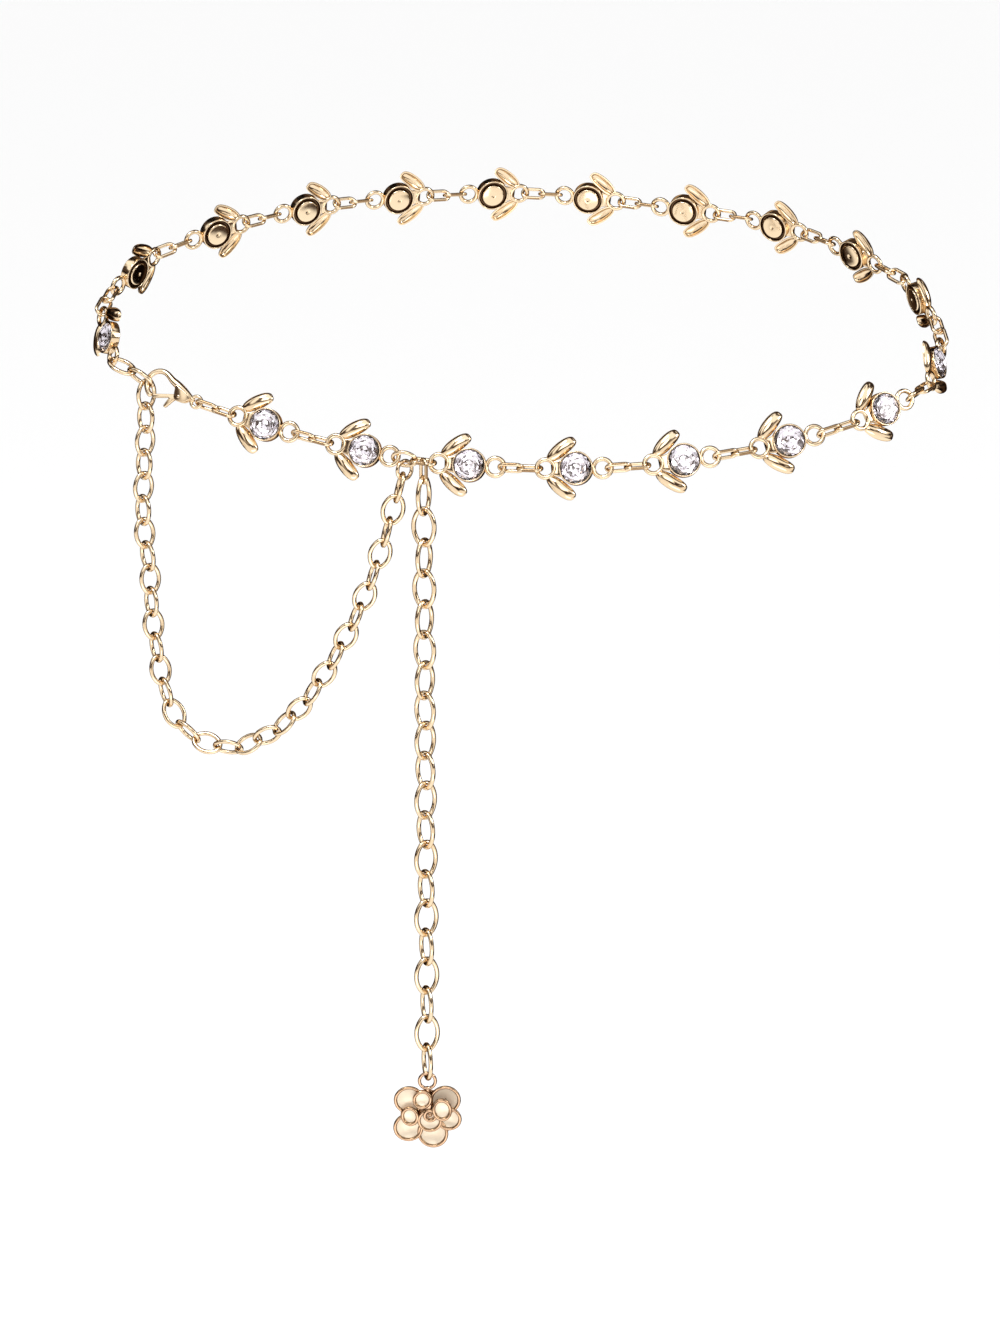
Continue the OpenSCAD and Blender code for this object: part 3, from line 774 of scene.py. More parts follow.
@dataclass
class Layout:
    """Where every piece is, worked out from the sizes that the part's source has."""

    motifs: int = 19
    swag_links: int = 33
    tail_links: int = 20
    small: LinkSize = LinkSize(7.4, 4.05, 0.9, LinkShape.STRAIGHT_SIDED, 0.15)
    wide: LinkSize = LinkSize(7.4, 5.85, 0.9, LinkShape.OVAL, 0.15)
    swag: LinkSize = LinkSize(8.8, 6.2, 0.9, LinkShape.OVAL, 0.35)
    tail: LinkSize = LinkSize(11.0, 7.0, 0.95, LinkShape.OVAL, 0.4)
    jump: LinkSize = LinkSize(5.9, 5.9, 0.9, LinkShape.ROUND, 0.2)
    ring: LinkSize = LinkSize(6.0, 6.0, 1.1, LinkShape.ROUND, 0.15)
    stone_d: float = 8.4
    cup_wall: float = 0.45
    cup_back: float = 1.9
    cup_front: float = 1.45
    stone_gap: float = 0.1
    web_length: float = 0.8
    solder_lap: float = 0.35
    small_gap: float = 0.28
    link_gap: float = 0.17
    wide_slack: float = 0.15
    wide_after: int = 2
    small_turn: float = 63.0
    turn_flips_at: int = 10
    wide_turn: float = 50.0
    extender_turn: float = 60.0
    face_lean: float = 18.0
    turn_half: float = 42.0
    swag_twist: float = 20.0
    swag_start_turn: float = 10.0
    tail_first_turn: float = -20.0
    tail_twist: float = 48.0
    hanger_shift: float = 0.3
    jump_yaw: float = 42.0
    jump_pull_angle: float = 112.0
    clasp_length: float = 16.5
    hook_wire: float = 1.5
    eye_r: float = 1.6
    eye_wire: float = 1.0
    bail_r: float = 2.35
    bail_wire: float = 1.0
    rose_r: float = 10.0
    rose_drop: float = 1.15
    loop_route: tuple[Spot, ...] = (
        (-81, -38, -20.5), (-42, -50, -29), (-12, -55, -32), (31, -61, -31), (75, -56, -25), (103, -48, -17),
        (121, -26, -9), (117, -1, 8), (99, 22, 17), (78, 41, 23), (50, 53, 26), (7, 60, 30), (-35, 49, 30),
        (-64, 37, 28), (-89, 23, 23), (-113, 8, 14), (-121, -16, -2), (-107, -27, -12))
    swag_rows: tuple[Span, ...] = (
        (0, 0), (-0.01, 0.14), (-0.03, 0.4), (-0.01, 0.54), (0, 0.72), (0.05, 0.92), (0.14, 1), (0.31, 0.99),
        (0.48, 0.89), (0.62, 0.75), (0.77, 0.53), (0.88, 0.32), (0.96, 0.11), (1, 0))

    def __post_init__(self) -> None:
        """Works out the loop, the clasp's joints, the jump ring, the swag and the tail in turn."""
        self.cup_r = self.stone_d / 2 + self.stone_gap + self.cup_wall
        self.leaf_ring_x = self.cup_r + self.web_length + self.ring.length / 2
        self.end_ring_x = self.cup_r + self.ring.length / 2 - self.solder_lap
        self._close_loop()
        self._hang_jump_ring()
        self._hang_swag()
        self._hang_tail()

    def hold(self, one: float, other: float, gap: float | None = None) -> float:
        """Distance between the middles of two wires that hook into each other."""
        return (one + other) / 2 + (self.small_gap if gap is None else gap)

    def face(self, line: np.ndarray) -> np.ndarray:
        """A face square to its chain line that looks out of the loop and leans up.

        Args:
            line: the chain line's direction.

        Returns:
            cos(lean) out + sin(lean) (out x line).
        """
        out = unit(np.cross(line, UP))
        lean = math.radians(self.face_lean)
        return math.cos(lean) * out + math.sin(lean) * np.cross(out, line)

    def alternate(self, i: int) -> float:
        """The turn of an even or an odd link of a curb chain, to either side by the same angle."""
        return -self.turn_half if i % 2 == 0 else self.turn_half

    def _close_loop(self) -> None:
        """The loop's route grows or shrinks until the steps from wire to wire close it."""
        small, swag = self.small, self.swag
        self.ring_hold = self.hold(self.ring.wire, small.wire)
        self.small_hold = self.hold(small.wire, small.wire)
        self.eye_hold = self.hold(self.eye_wire, small.wire)
        self.swag_hold = self.hold(swag.wire, swag.wire, self.link_gap)
        grip_hold = self.hold(self.hook_wire, swag.wire)
        ring_swag_hold = self.hold(self.ring.wire, swag.wire)
        motif = self.leaf_ring_x + self.end_ring_x + 2 * self.ring.a
        pair = 4 * small.a - self.small_hold - 2 * self.ring_hold
        extender = [2 * swag.a - ring_swag_hold - self.swag_hold / 2,
                    2 * swag.a - self.swag_hold / 2 - grip_hold]
        clasp = self.clasp_length + self.eye_r
        last_pair = 4 * small.a - self.small_hold - self.eye_hold - self.ring_hold
        steps = [motif, pair] * (self.motifs - 1) + [motif, *extender, clasp, last_pair]
        route = np.array(self.loop_route, float)
        scale = secant(lambda s: Route(s * route, True).walk(steps)[-1] - len(route), 1.0, 1.01, 4)
        curve = Route(scale * route, True)
        self.loop = [curve.at(u) for u in curve.walk(steps)]
        extender_from, extender_joint, grip, self.eye_end = self.loop[-5:-1]
        line_1, line_2 = unit(extender_joint - extender_from), unit(grip - extender_joint)
        self.extender_places = [
            Place(extender_from + (swag.a - ring_swag_hold) * line_1, line_1,
                  turned(self.face(line_1), line_1, -self.extender_turn)),
            Place(extender_joint + (swag.a - self.swag_hold / 2) * line_2, line_2,
                  turned(self.face(line_2), line_2, self.extender_turn))]
        clasp_line = unit(self.eye_end - grip)
        self.clasp_place = Place(grip, clasp_line, self.face(clasp_line))

    def motif_place(self, k: int) -> Place:
        """The frame of motif k, its stone's middle at the origin and the chain line on x."""
        line = unit(self.loop[2 * k - 1] - self.loop[2 * k - 2])
        return Place(self.loop[2 * k - 2] + (self.leaf_ring_x + self.ring.a) * line, line, self.face(line))

    def pair_places(self, p: np.ndarray, q: np.ndarray, first_hold: float, turn: float) -> list[Place]:
        """The frames of two small links from one wire to another.

        Args:
            p: where the first link hooks in.
            q: where the second link hooks in, on a motif's ring.
            first_hold: distance between the middles of the wires at p.
            turn: the first link's turn about the line, which the second has the other way.

        Returns:
            The two frames.
        """
        line = unit(q - p)
        return [Place(p + (self.small.a - first_hold) * line, line, turned(self.face(line), line, turn)),
                Place(q - (self.small.a - self.ring_hold) * line, line, turned(self.face(line), line, -turn))]

    def pairs(self, first: int, last: int) -> list[Place]:
        """The frames of the plain pairs of small links between motifs.

        Args:
            first: the motif before the first pair.
            last: the motif before the last pair.

        Returns:
            Two frames for each pair, without the pair that has the wide link.
        """
        places: list[Place] = []
        for k in range(first, last + 1):
            if k != self.wide_after:
                turn = self.small_turn if k < self.turn_flips_at else -self.small_turn
                places += self.pair_places(self.loop[2 * k - 1], self.loop[2 * k], self.ring_hold, turn)
        return places

    def _hang_jump_ring(self) -> None:
        """The pair with a wide link that carries the jump ring, and a small one that carries the hanger."""
        small, jump = self.small, self.jump
        start, end = self.loop[2 * self.wide_after - 1], self.loop[2 * self.wide_after]
        line = unit(end - start)
        wide_face = turned(self.face(line), line, self.wide_turn)
        second_face = turned(self.face(line), line, -self.small_turn)
        second_width = np.cross(second_face, line)
        self.wide_place = Place(start + (small.a - self.ring_hold - self.wide_slack) * line, line, wide_face)
        self.second_place = Place(end - (small.a - self.ring_hold) * line, line, second_face)
        wide_low = self.wide_place.origin - self.wide.b * np.cross(wide_face, line)
        down = -1 if second_width[2] > 0 else 1
        second_low = self.second_place.origin + self.hanger_shift * line + small.b * second_width * down
        yaw = math.radians(self.jump_yaw)
        jump_face = np.array([math.sin(yaw), -math.cos(yaw), 0.0])
        jump_across = np.cross(UP, jump_face)
        middle = wide_low - (jump.a - self.hold(jump.wire, small.wire)) * UP
        self.jump_place = Place(middle, jump_across, jump_face)
        pull = math.radians(self.jump_pull_angle)
        reach = jump.a - self.hold(jump.wire, self.swag.wire) / 2
        self.swag_end = middle + reach * (math.cos(pull) * jump_across - math.sin(pull) * UP)
        self.hanger_middle = second_low + (self.small_hold - small.a) * UP
        self.hanger_place = Place(self.hanger_middle, -UP, turned(FRONT, -UP, self.small_turn))

    def _hang_swag(self) -> None:
        """The swag hangs on the second extender link; its sag grows until its links reach the jump ring."""
        swag, second = self.swag, self.extender_places[1]
        width = np.cross(second.z_axis, second.x_axis)
        bend = (swag.a - swag.b) / 2
        angle = math.atan2(-width[2], -second.x_axis[2]) - math.radians(self.swag_start_turn)
        wire = (swag.b + 4 * bend) * np.array([math.cos(angle), math.sin(angle)]) + [0, 4 * bend]
        start = second.origin + wire[0] * second.x_axis + wire[1] * width + self.swag_hold / 2 * UP
        reach = self.swag_end - start
        rows = np.array(self.swag_rows, float)
        steps = [2 * swag.a - self.swag_hold] * (self.swag_links - 1) + [
            2 * swag.a - self.swag_hold / 2 - self.hold(self.jump.wire, swag.wire) / 2]

        def route(sag: float) -> Route:
            """The route that sags this far."""
            return Route(start + rows[:, :1] * reach - rows[:, 1:] * sag * UP, False)

        sag = secant(lambda s: route(s).walk(steps)[-1] - (len(rows) - 1), 100.0, 105.0, 5)
        curve = route(sag)
        spots = [curve.at(u) for u in curve.walk(steps)]
        face = np.cross(unit(np.array([reach[0], reach[1], 0.0])), UP)
        self.swag_places = []
        for i in range(self.swag_links):
            line = unit(spots[i + 1] - spots[i])
            turn = -self.swag_twist * abs(1 - 2 * i / (self.swag_links - 1)) + self.alternate(i)
            self.swag_places.append(
                Place(spots[i] + (swag.a - self.swag_hold / 2) * line, line, turned(face, line, turn)))

    def _hang_tail(self) -> None:
        """The tail hangs straight down from its hanger, with the rose at its end."""
        tail, hold = self.tail, self.hold(self.small.wire, self.tail.wire)
        top = self.hanger_middle - (self.small.a - hold / 2) * UP
        pitch = 2 * tail.a - self.hold(tail.wire, tail.wire, self.link_gap)
        middles = [top - (tail.a - hold / 2 + i * pitch) * UP for i in range(self.tail_links)]
        self.tail_places = []
        for i, middle in enumerate(middles):
            turn = self.tail_first_turn + self.tail_twist * i / (self.tail_links - 1) + self.alternate(i)
            self.tail_places.append(Place(middle, -UP, turned(FRONT, -UP, turn)))
        pivot = middles[-1] - tail.a * UP
        bail = pivot - (self.bail_r - self.hold(self.bail_wire, tail.wire)) * UP
        self.bail_place = Place(bail, RIGHT, FRONT)
        self.rose_place = Place(bail - (self.rose_r + self.rose_drop) * UP, RIGHT, FRONT)


# The pieces


@dataclass
class Motif:
    """One cast motif: cup, web, two rings and two hollow leaves."""

    layout: Layout
    number: int
    dimple_r: float = 0.7
    dimple_depth: float = 0.26
    button_inset: float = 1.4
    button_rise: float = 0.12
    edge_r: float = 0.4
    shoulder_r: float = 0.23
    lip_r: float = 0.18
    leaf_length: float = 9.8
    leaf_width: float = 4.0
    leaf_height: float = 1.7
    leaf_wall: float = 0.5
    leaf_angle: float = 40.0
    leaf_bend: float = 0.3
    leaf_out: float = 2.2
    leaf_lap: float = 0.4
    web_thick: float = 0.9
    web_ring_half: float = 2.0
    web_cup_half: float = 2.6

    def _cup(self) -> Skin:
        """The cup's profile spun: dimple, button, groove, round shoulder, wall, lip and seat.

        Returns:
            The cup, its groove in the second finish, a painted shade.
        """
        r, back, front = self.layout.cup_r, -self.layout.cup_back, self.layout.cup_front
        stone_r = self.layout.stone_d / 2
        button_r = r - self.button_inset
        f = np.linspace(0, 1, 7)
        dimple = np.stack([self.dimple_r * f, back + self.dimple_depth / 2 * (1 + np.cos(np.pi * f))], axis=1)
        g = np.linspace(0, 1, 9)[1:]
        run = button_r - (self.dimple_r + self.edge_r)
        dome = np.stack([self.dimple_r + g * run, back + self.button_rise * g * g], axis=1)
        edge_middle = (button_r - self.edge_r, back + self.button_rise + self.edge_r)
        edge = arc(edge_middle, self.edge_r, -90, 0, 6)[1:]
        groove = np.array([[button_r + 0.06, back + 0.95], [button_r + 0.3, back + 1.2],
                           [button_r + 0.65, back + 1.2], [button_r + 0.86, back + 0.95],
                           [button_r + 0.94, back + 0.6]])
        shoulder = arc((r - self.shoulder_r, back + 0.6), self.shoulder_r, -180, 0, 9)[1:]
        lip = arc((r - self.lip_r, front - 2 * self.lip_r), self.lip_r, 0, 150, 9)
        seat = np.array([[stone_r + 0.14, front - 0.34], [stone_r + 0.1, front - 0.46],
                         [stone_r + 0.1, front - 0.8], [stone_r * 0.3, back + 0.5], [0, back + 0.5]])
        skin = lathe(np.vstack([dimple, dome, edge, groove, shoulder, lip, seat]), 72)
        middle = skin.centres()
        out = np.hypot(middle[:, 0], middle[:, 1])
        # Painted shade: the groove gets a dark brown gold in place of the shade and dark reflections in it.
        in_groove = ((out > button_r + 0.01) & (out < r - 0.44) & (middle[:, 2] > back + 0.5)
                     & (middle[:, 2] < back + 1.3))
        skin.finish = np.where(in_groove, Face.SECOND, Face.MAIN)
        return skin

    def _leaf(self, side: int) -> Skin:
        """A hollow leaf, blunt at its tip and bent to the cup: outer dome, rim and inner dome on one grid.

        Args:
            side: 1 for the upper leaf, -1 for the lower.

        Returns:
            The leaf in the motif's frame. Outline: |x / a|^n + |y / b|^n = 1 with n = 2 towards the ring and
            up to 2.9 at the tip; at a share s of it the outer dome's height is h sqrt(1 - s^2). Bend: y less
            leaf_bend (x / a)^2 on the tip's half.
        """
        c, s = ring_points(48)
        a, b, h, wall = self.leaf_length / 2, self.leaf_width / 2, self.leaf_height, self.leaf_wall
        n = 2 + 0.9 * np.maximum(c, 0) ** 0.8
        reach = (np.abs(c) ** n + np.abs(s) ** n) ** (-1 / n)

        def dome(shares: np.ndarray, ax: float, bx: float, hx: float) -> np.ndarray:
            """Rows of points on a dome.

            Args:
                shares: how far out to the outline each row is.
                ax: the dome's half length.
                bx: its half width.
                hx: its height.

            Returns:
                Array (rows, points round, 3).
            """
            x = ax * np.outer(shares, c * reach)
            y = bx * np.outer(shares, s * reach) - self.leaf_bend * np.maximum(x / a, 0) ** 2
            z = hx * np.sqrt(np.clip(1 - shares ** 2, 0, 1))[:, None] * np.ones_like(c)
            return np.stack([x, y, z], axis=-1)

        out = dome(np.sin(np.linspace(0, np.pi / 2, 13)), a, b, h)
        rim = dome(np.array([1.0, 1.0]), a - wall * 0.35, b - wall * 0.35, 0.0)
        rim[0, :, 2] = -0.06
        rim[1] = dome(np.array([1.0]), a - wall * 0.8, b - wall * 0.8, 0.0)[0]
        inner = dome(np.sin(np.linspace(np.pi / 2, 0, 8)), a - wall, b - wall, h - wall)
        skin = grid_skin(np.concatenate([out, rim, inner]), poles=(True, True))
        cos, sin = math.cos(math.radians(self.leaf_angle)), math.sin(math.radians(self.leaf_angle))
        x, y, z = skin.points.T
        leaf_x = -self.layout.leaf_ring_x + self.leaf_lap + a * cos
        leaf_y = self.leaf_out + a * sin
        placed = np.stack([leaf_x + x * cos - y * sin, side * (leaf_y + x * sin + y * cos),
                           z - self.web_thick / 2], axis=1)
        return skin.mapped(placed).outward()

    def _web(self) -> Skin:
        """The web: an eased slab that runs from the leaf ring's wire to the cup's wall.

        Returns:
            A surface over u along the web and v round its section (w |cos v|^p, h |sin v|^p), p = 0.45.
        """
        c, s = ring_points(40)
        share = np.sign(c) * np.abs(c) ** 0.45
        height = self.web_thick / 2 * np.sign(s) * np.abs(s) ** 0.45
        ring_r, cup_r = self.layout.ring.a, self.layout.cup_r
        y0, y1 = self.web_ring_half * share, self.web_cup_half * share
        x0 = -self.layout.leaf_ring_x + np.sqrt(np.maximum(ring_r ** 2 - y0 ** 2, 0.2))
        x1 = -np.sqrt((cup_r - 0.35) ** 2 - y1 ** 2)
        u = np.linspace(0, 1, 9)[:, None]
        x = x0 + (x1 - x0) * u
        y = y0 + (y1 - y0) * u ** 1.6
        z = height * (1 - 0.12 * np.sin(np.pi * u))
        return grid_skin(np.stack([x, y, z], axis=-1), caps=(True, True))

    def build(self) -> list[Skin]:
        """All the motif's surfaces.

        Returns:
            Cup, web, leaves and rings in the part's frame.
        """
        ring, layout = self.layout.ring, self.layout
        rings = [wire_ring(ring.a + ring.fuller / 2, ring.wire + ring.fuller, 56, x)
                 for x in (-layout.leaf_ring_x, layout.end_ring_x)]
        place = layout.motif_place(self.number)
        return [s.moved(place) for s in (self._cup(), self._web(), self._leaf(1), self._leaf(-1), *rings)]

    def dress(self, finishes: Finishes) -> bpy.types.Object:
        """Makes the motif's piece in gold, with painted shade in the cup's groove.

        Args:
            finishes: the finishes in use.

        Returns:
            The piece.
        """
        node = f"motif_{self.number:02d}"
        return make_piece(f"{node}_gold", self.build(), [node], Body.CHAIN,
                          [finishes.gold, finishes.recess])


def spin(n: int, radius: float, z: float, start: float) -> np.ndarray:
    """A ring of n points at one height: (r cos t, r sin t, z), its first at start degrees."""
    t = np.radians(start + np.arange(n) * 360 / n)
    return np.stack([radius * np.cos(t), radius * np.sin(t), np.full(n, z)], axis=1)


@dataclass
class Stone:
    """A round brilliant: table, stars, kites and upper facets of glass over a foiled pavilion."""

    layout: Layout
    number: int
    seat_lap: float = 0.09
    girdle_depth: float = 0.6
    girdle_half: float = 0.1
    table_share: float = 0.57
    kite_share: float = 0.82
    culet_share: float = 0.28
    crown_share: float = 0.28
    star_turn: float = 11.0

    def build(self) -> list[Skin]:
        """The glass and the foil, facet by facet, from rings of points at equal angles.

        Returns:
            The stone, its foil in the second finish, and the star inside it.
        """
        r = self.layout.stone_d / 2 + self.seat_lap
        girdle = self.layout.cup_front - self.girdle_depth
        top, bottom = girdle + self.girdle_half, girdle - self.girdle_half
        table_r, kite_r, culet_r, crown = (
            share * r for share in (self.table_share, self.kite_share, self.culet_share, self.crown_share))
        table_z = top + crown
        slope = crown / (r - table_r)
        kite_z = table_z - (kite_r * math.cos(math.radians(22.5)) - table_r) * slope
        points = np.vstack([spin(8, table_r, table_z, 0), spin(8, kite_r, kite_z, 22.5), spin(16, r, top, 0),
                            spin(16, r, bottom, 0), spin(8, culet_r, -self.layout.cup_back + 0.62, 0)])
        kite, upper, lower, culet = 8, 16, 32, 48
        glass, foil = [list(range(7, -1, -1))], [[culet + i for i in range(8)]]
        for i in range(8):
            j, h = (i + 1) % 8, (i + 7) % 8
            here, half, there = 2 * i, 2 * i + 1, 2 * j
            glass += [[i, j, kite + i], [i, kite + i, upper + here, kite + h],
                      [kite + i, upper + half, upper + here], [kite + i, upper + there, upper + half]]
            foil += [[lower + here, lower + half, culet + i], [lower + half, culet + j, culet + i],
                     [lower + half, lower + there, culet + j]]
        glass += [[upper + i, upper + (i + 1) % 16, lower + (i + 1) % 16, lower + i] for i in range(16)]
        faces = [face[::-1] for face in glass + foil]
        foiled = np.array([Face.MAIN] * len(glass) + [Face.SECOND] * len(foil))
        stone = Skin(points, np.concatenate(faces), np.array([len(f) for f in faces]), False, foiled)
        place = self.layout.motif_place(self.number)
        return [stone.moved(place), self._star().moved(place)]

    def _star(self) -> Skin:
        """The foil's star as it shows through the crown: rings of points at heights that take turns.

        Returns:
            A faceted lens inside the glass, with a low cone below.
        """
        r = self.layout.stone_d / 2
        girdle = self.layout.cup_front - self.girdle_depth
        turn = self.star_turn * (self.number % 4)
        points = np.vstack([
            [[0.0, 0.0, girdle - 0.15]], spin(8, 0.30 * r, girdle - 0.43, turn),
            spin(8, 0.57 * r, girdle - 0.12, turn + 22.5), spin(8, 0.78 * r, girdle - 0.35, turn),
            spin(16, 0.975 * r, girdle, turn), [[0.0, 0.0, girdle - 0.55]]])
        a, b, c, d, end = 1, 9, 17, 25, 41
        faces: list[list[int]] = []
        for i in range(8):
            j, h = (i + 1) % 8, (i + 7) % 8
            d0, d1, d2, before = d + 2 * i, d + 2 * i + 1, d + 2 * j, d + (2 * i + 15) % 16
            faces += [[0, a + i, a + j], [a + i, b + i, a + j], [a + i, b + h, b + i], [b + h, c + i, b + i],
                      [b + i, c + i, c + j], [c + i, d0, d1], [c + i, before, d0], [c + i, d1, c + j],
                      [end, d1, d0], [end, d2, d1]]
        return Skin(points, np.array(faces).ravel(), np.full(len(faces), 3), False, Face.SECOND)

    def dress(self, finishes: Finishes) -> bpy.types.Object:
        """Makes the stone's piece of glass and foil.

        Args:
            finishes: the finishes in use.

        Returns:
            The piece.
        """
        node = f"stone_{self.number:02d}"
        return make_piece(f"{node}_glass", self.build(), [node], Body.CHAIN,
                          [finishes.glass, finishes.foil])


@dataclass
class LinkRun:
    """Links of one CAD node, drawn as wire."""

    name: str
    size: LinkSize
    places: list[Place]
    more: Sequence[tuple[LinkSize, Place]] = ()

    def build(self) -> list[Skin]:
        """Each link's wire in its place, those of the run's own size first."""
        return [size.skin(place) for size, place in [*((self.size, p) for p in self.places), *self.more]]

    def dress(self, finishes: Finishes) -> bpy.types.Object:
        """Makes the run's piece in gold, with painted shade on the outer sides of straight-sided links."""
        return make_piece(f"{self.name}_gold", self.build(), [self.name], Body.CHAIN,
                          [finishes.gold, finishes.painted_shade])


@dataclass
class Clasp:
    """The lobster clasp: hook, arm, cheeks, pin and eye, and the lever between the cheeks."""

    layout: Layout
    hook_r: float = 3.9
    hook_tilt: float = 5.0
    hook_end: float = 244.0
    thick: float = 2.6
    lever_thick: float = 1.1
    pin_d: float = 0.9
    pin_gap: float = 0.12
    pin_back: float = 5.3
    pin_low: float = -0.55
    heel_inset: float = 0.25
    hub_r: float = 1.05
    thumb_r: float = 0.45
    tip_r: float = 0.6
    arm: tuple[Span, ...] = ((9.1, 2.95), (6.9, 2.25), (4.2, 1.3), (1.7, 0.28), (1.2, 0.1))
    hook_swell: tuple[Span, ...] = ((0, 0.8), (1.0, 0.75), (6.5, 0.75), (12.0, 0.8))
    arm_swell: tuple[Span, ...] = ((6.6, 1.16), (4.2, 1.12), (1.0, 0.78), (0, 0.66))
    cheek_arm: tuple[Span, ...] = ((7.5, 2.3), (4.6, 1.7), (1.95, 0.7), (1.9, -0.35))
    cheek_pin: tuple[Span, ...] = ((2.1, -1), (0.9, -1.4), (-0.6, -1.4), (-1.4, -0.7), (-1.7, 0.6))
    heel: tuple[Span, ...] = ((4.2, 1.6), (1.75, 0.65), (1.75, -0.5), (4.0, -1.1), (4.0, 0.7))

    def __post_init__(self) -> None:
        """Places in the clasp's own frame: the hook's gripping side at the origin, the eye along x."""
        tilt = math.radians(self.hook_tilt)
        self.hook_middle = self.hook_r * np.array([math.cos(tilt), math.sin(tilt)])
        self.pin = np.array([self.layout.clasp_length - self.pin_back, self.pin_low])
        self.tip = self.on_hook(self.hook_end) + [1.55, 0.05]

    def on_hook(self, degrees: float) -> np.ndarray:
        """A place on the hook's middle line."""
        return arc(self.hook_middle, self.hook_r, degrees, degrees, 1)[0]

    def from_eye(self, spots: Sequence[Span]) -> np.ndarray:
        """Places given by how far back from the eye's middle they are and by their height."""
        return np.array([[self.layout.clasp_length - back, rise] for back, rise in spots])

    def _hook_and_arm(self) -> Skin:
        """One bar that swells from the hook's end round the hook and along the arm to the eye.

        Returns:
            A tube on an arc that goes over into a smooth curve, its radius eased between named places.
        """
        hook = arc(self.hook_middle, self.hook_r, self.hook_end, 66, 52)
        knots = np.vstack([self.on_hook(76), self.on_hook(66), self.from_eye(self.arm)])
        curve = Route(knots, False)
        arm = np.array([curve.at(u) for u in np.linspace(1, 6, 40)])
        path = np.vstack([hook, arm[1:]])
        run = np.concatenate([[0], np.cumsum(np.linalg.norm(np.diff(path, axis=0), axis=1))])
        swell = np.array([*self.hook_swell, *((run[-1] - back, r) for back, r in self.arm_swell)])
        radius = np.interp(run, swell[:, 0], swell[:, 1])
        kernel = np.ones(7) / 7
        radius = np.convolve(np.pad(radius, 3, mode="edge"), kernel, mode="valid")
        return planar_tube(path, radius, False, 24)

    def _cheeks(self) -> list[Skin]:
        """Two plates that hold the pin.

        Returns:
            One plate on each side of the lever's slot.
        """
        outline = rounded(np.vstack([self.from_eye(self.cheek_arm), self.pin + self.cheek_pin]), 84, 4)
        slot = self.lever_thick / 2 + self.pin_gap
        return [plate(outline, slot, self.thick / 2, 0.22), plate(outline, -self.thick / 2, -slot, 0.22)]

    def _pin(self) -> Skin:
        """The pin with domed heads that stand a little proud of the cheeks.

        Returns:
            The pin in the clasp's frame.
        """
        half, r = self.thick / 2, self.pin_d / 2
        side = np.array([[0, -half - 0.15], [0.6 * r, -half - 0.12], [r, -half],
                         [r, half], [0.6 * r, half + 0.12], [0, half + 0.15]])
        return lathe(side, 28).shifted([*self.pin, 0])

    def _heel(self) -> Skin:
        """The solid heel between the cheeks and the eye.

        Returns:
            A plate a little thinner than the cheeks' outsides.
        """
        half = self.thick / 2 - self.heel_inset
        return plate(rounded(self.from_eye(self.heel), 60, 2), -half, half, 0.35)

    def build_body(self) -> list[Skin]:
        """The clasp's body.

        Returns:
            Hook and arm, cheeks, pin, heel and eye in the part's frame.
        """
        eye = wire_ring(self.layout.eye_r, self.layout.eye_wire, 48, self.layout.clasp_length)
        skins = [self._hook_and_arm(), *self._cheeks(), self._pin(), self._heel(), eye]
        return [skin.moved(self.layout.clasp_place) for skin in skins]

    def build_lever(self) -> list[Skin]:
        """The lever: a hub round the pin, and a bar with a thumb piece that reaches to the hook's end.

        Returns:
            Hub and bar in the part's frame.
        """
        run = unit(self.tip - self.pin)
        up = np.array([run[1], -run[0]])
        start = self.pin + 2.6 * run
        thumb = start + [-0.75, -3.2]
        down = unit(thumb - start)
        right = np.array([-down[1], down[0]])

        def bend(middle: np.ndarray, radius: float, ahead: np.ndarray, aside: np.ndarray,
                 turn: float) -> np.ndarray:
            """Part of a circle from turn to -turn degrees: middle + r (cos t ahead + sin t aside)."""
            t = np.radians(np.linspace(turn, -turn, 11))
            return middle + radius * (np.outer(np.cos(t), ahead) + np.outer(np.sin(t), aside))

        outline = np.vstack([
            self.pin + 0.72 * run - 0.7 * up, start + 0.9 * right - 0.72 * up,
            bend(thumb, self.thumb_r, down, right, 80), start - 0.7 * right - 0.72 * up,
            bend(self.tip, self.tip_r, run, up, -80), self.pin + 0.72 * run + 0.7 * up])
        half = self.lever_thick / 2
        hole = self.pin_d / 2 + self.pin_gap
        side = [[self.hub_r - 0.2, -half], [self.hub_r - 0.05, -half + 0.06], [self.hub_r, -half + 0.2]]
        hub = lathe(np.array([[hole, -half], *side, *([r, -z] for r, z in side[::-1]), [hole, half]]), 44)
        bar = plate(rounded(outline, 150, 3), -half, half, 0.2)
        return [skin.moved(self.layout.clasp_place) for skin in (hub.shifted([*self.pin, 0]), bar)]

    def dress(self, finishes: Finishes) -> None:
        """Makes the body's and the lever's pieces in gold.

        Args:
            finishes: the finishes in use.
        """
        for name, skins, body in (("clasp_body", self.build_body(), Body.CHAIN),
                                  ("clasp_lever", self.build_lever(), Body.LEVER)):
            make_piece(f"{name}_gold", skins, [name], body, [finishes.gold])


@dataclass(frozen=True)
class Petal:
    """A petal's place, outer radius, height, lean outwards, and how much longer it is along a direction."""

    x: float
    y: float
    r: float
    z: float
    lean: float
    longer: float = 1.0
    along: float = 90.0


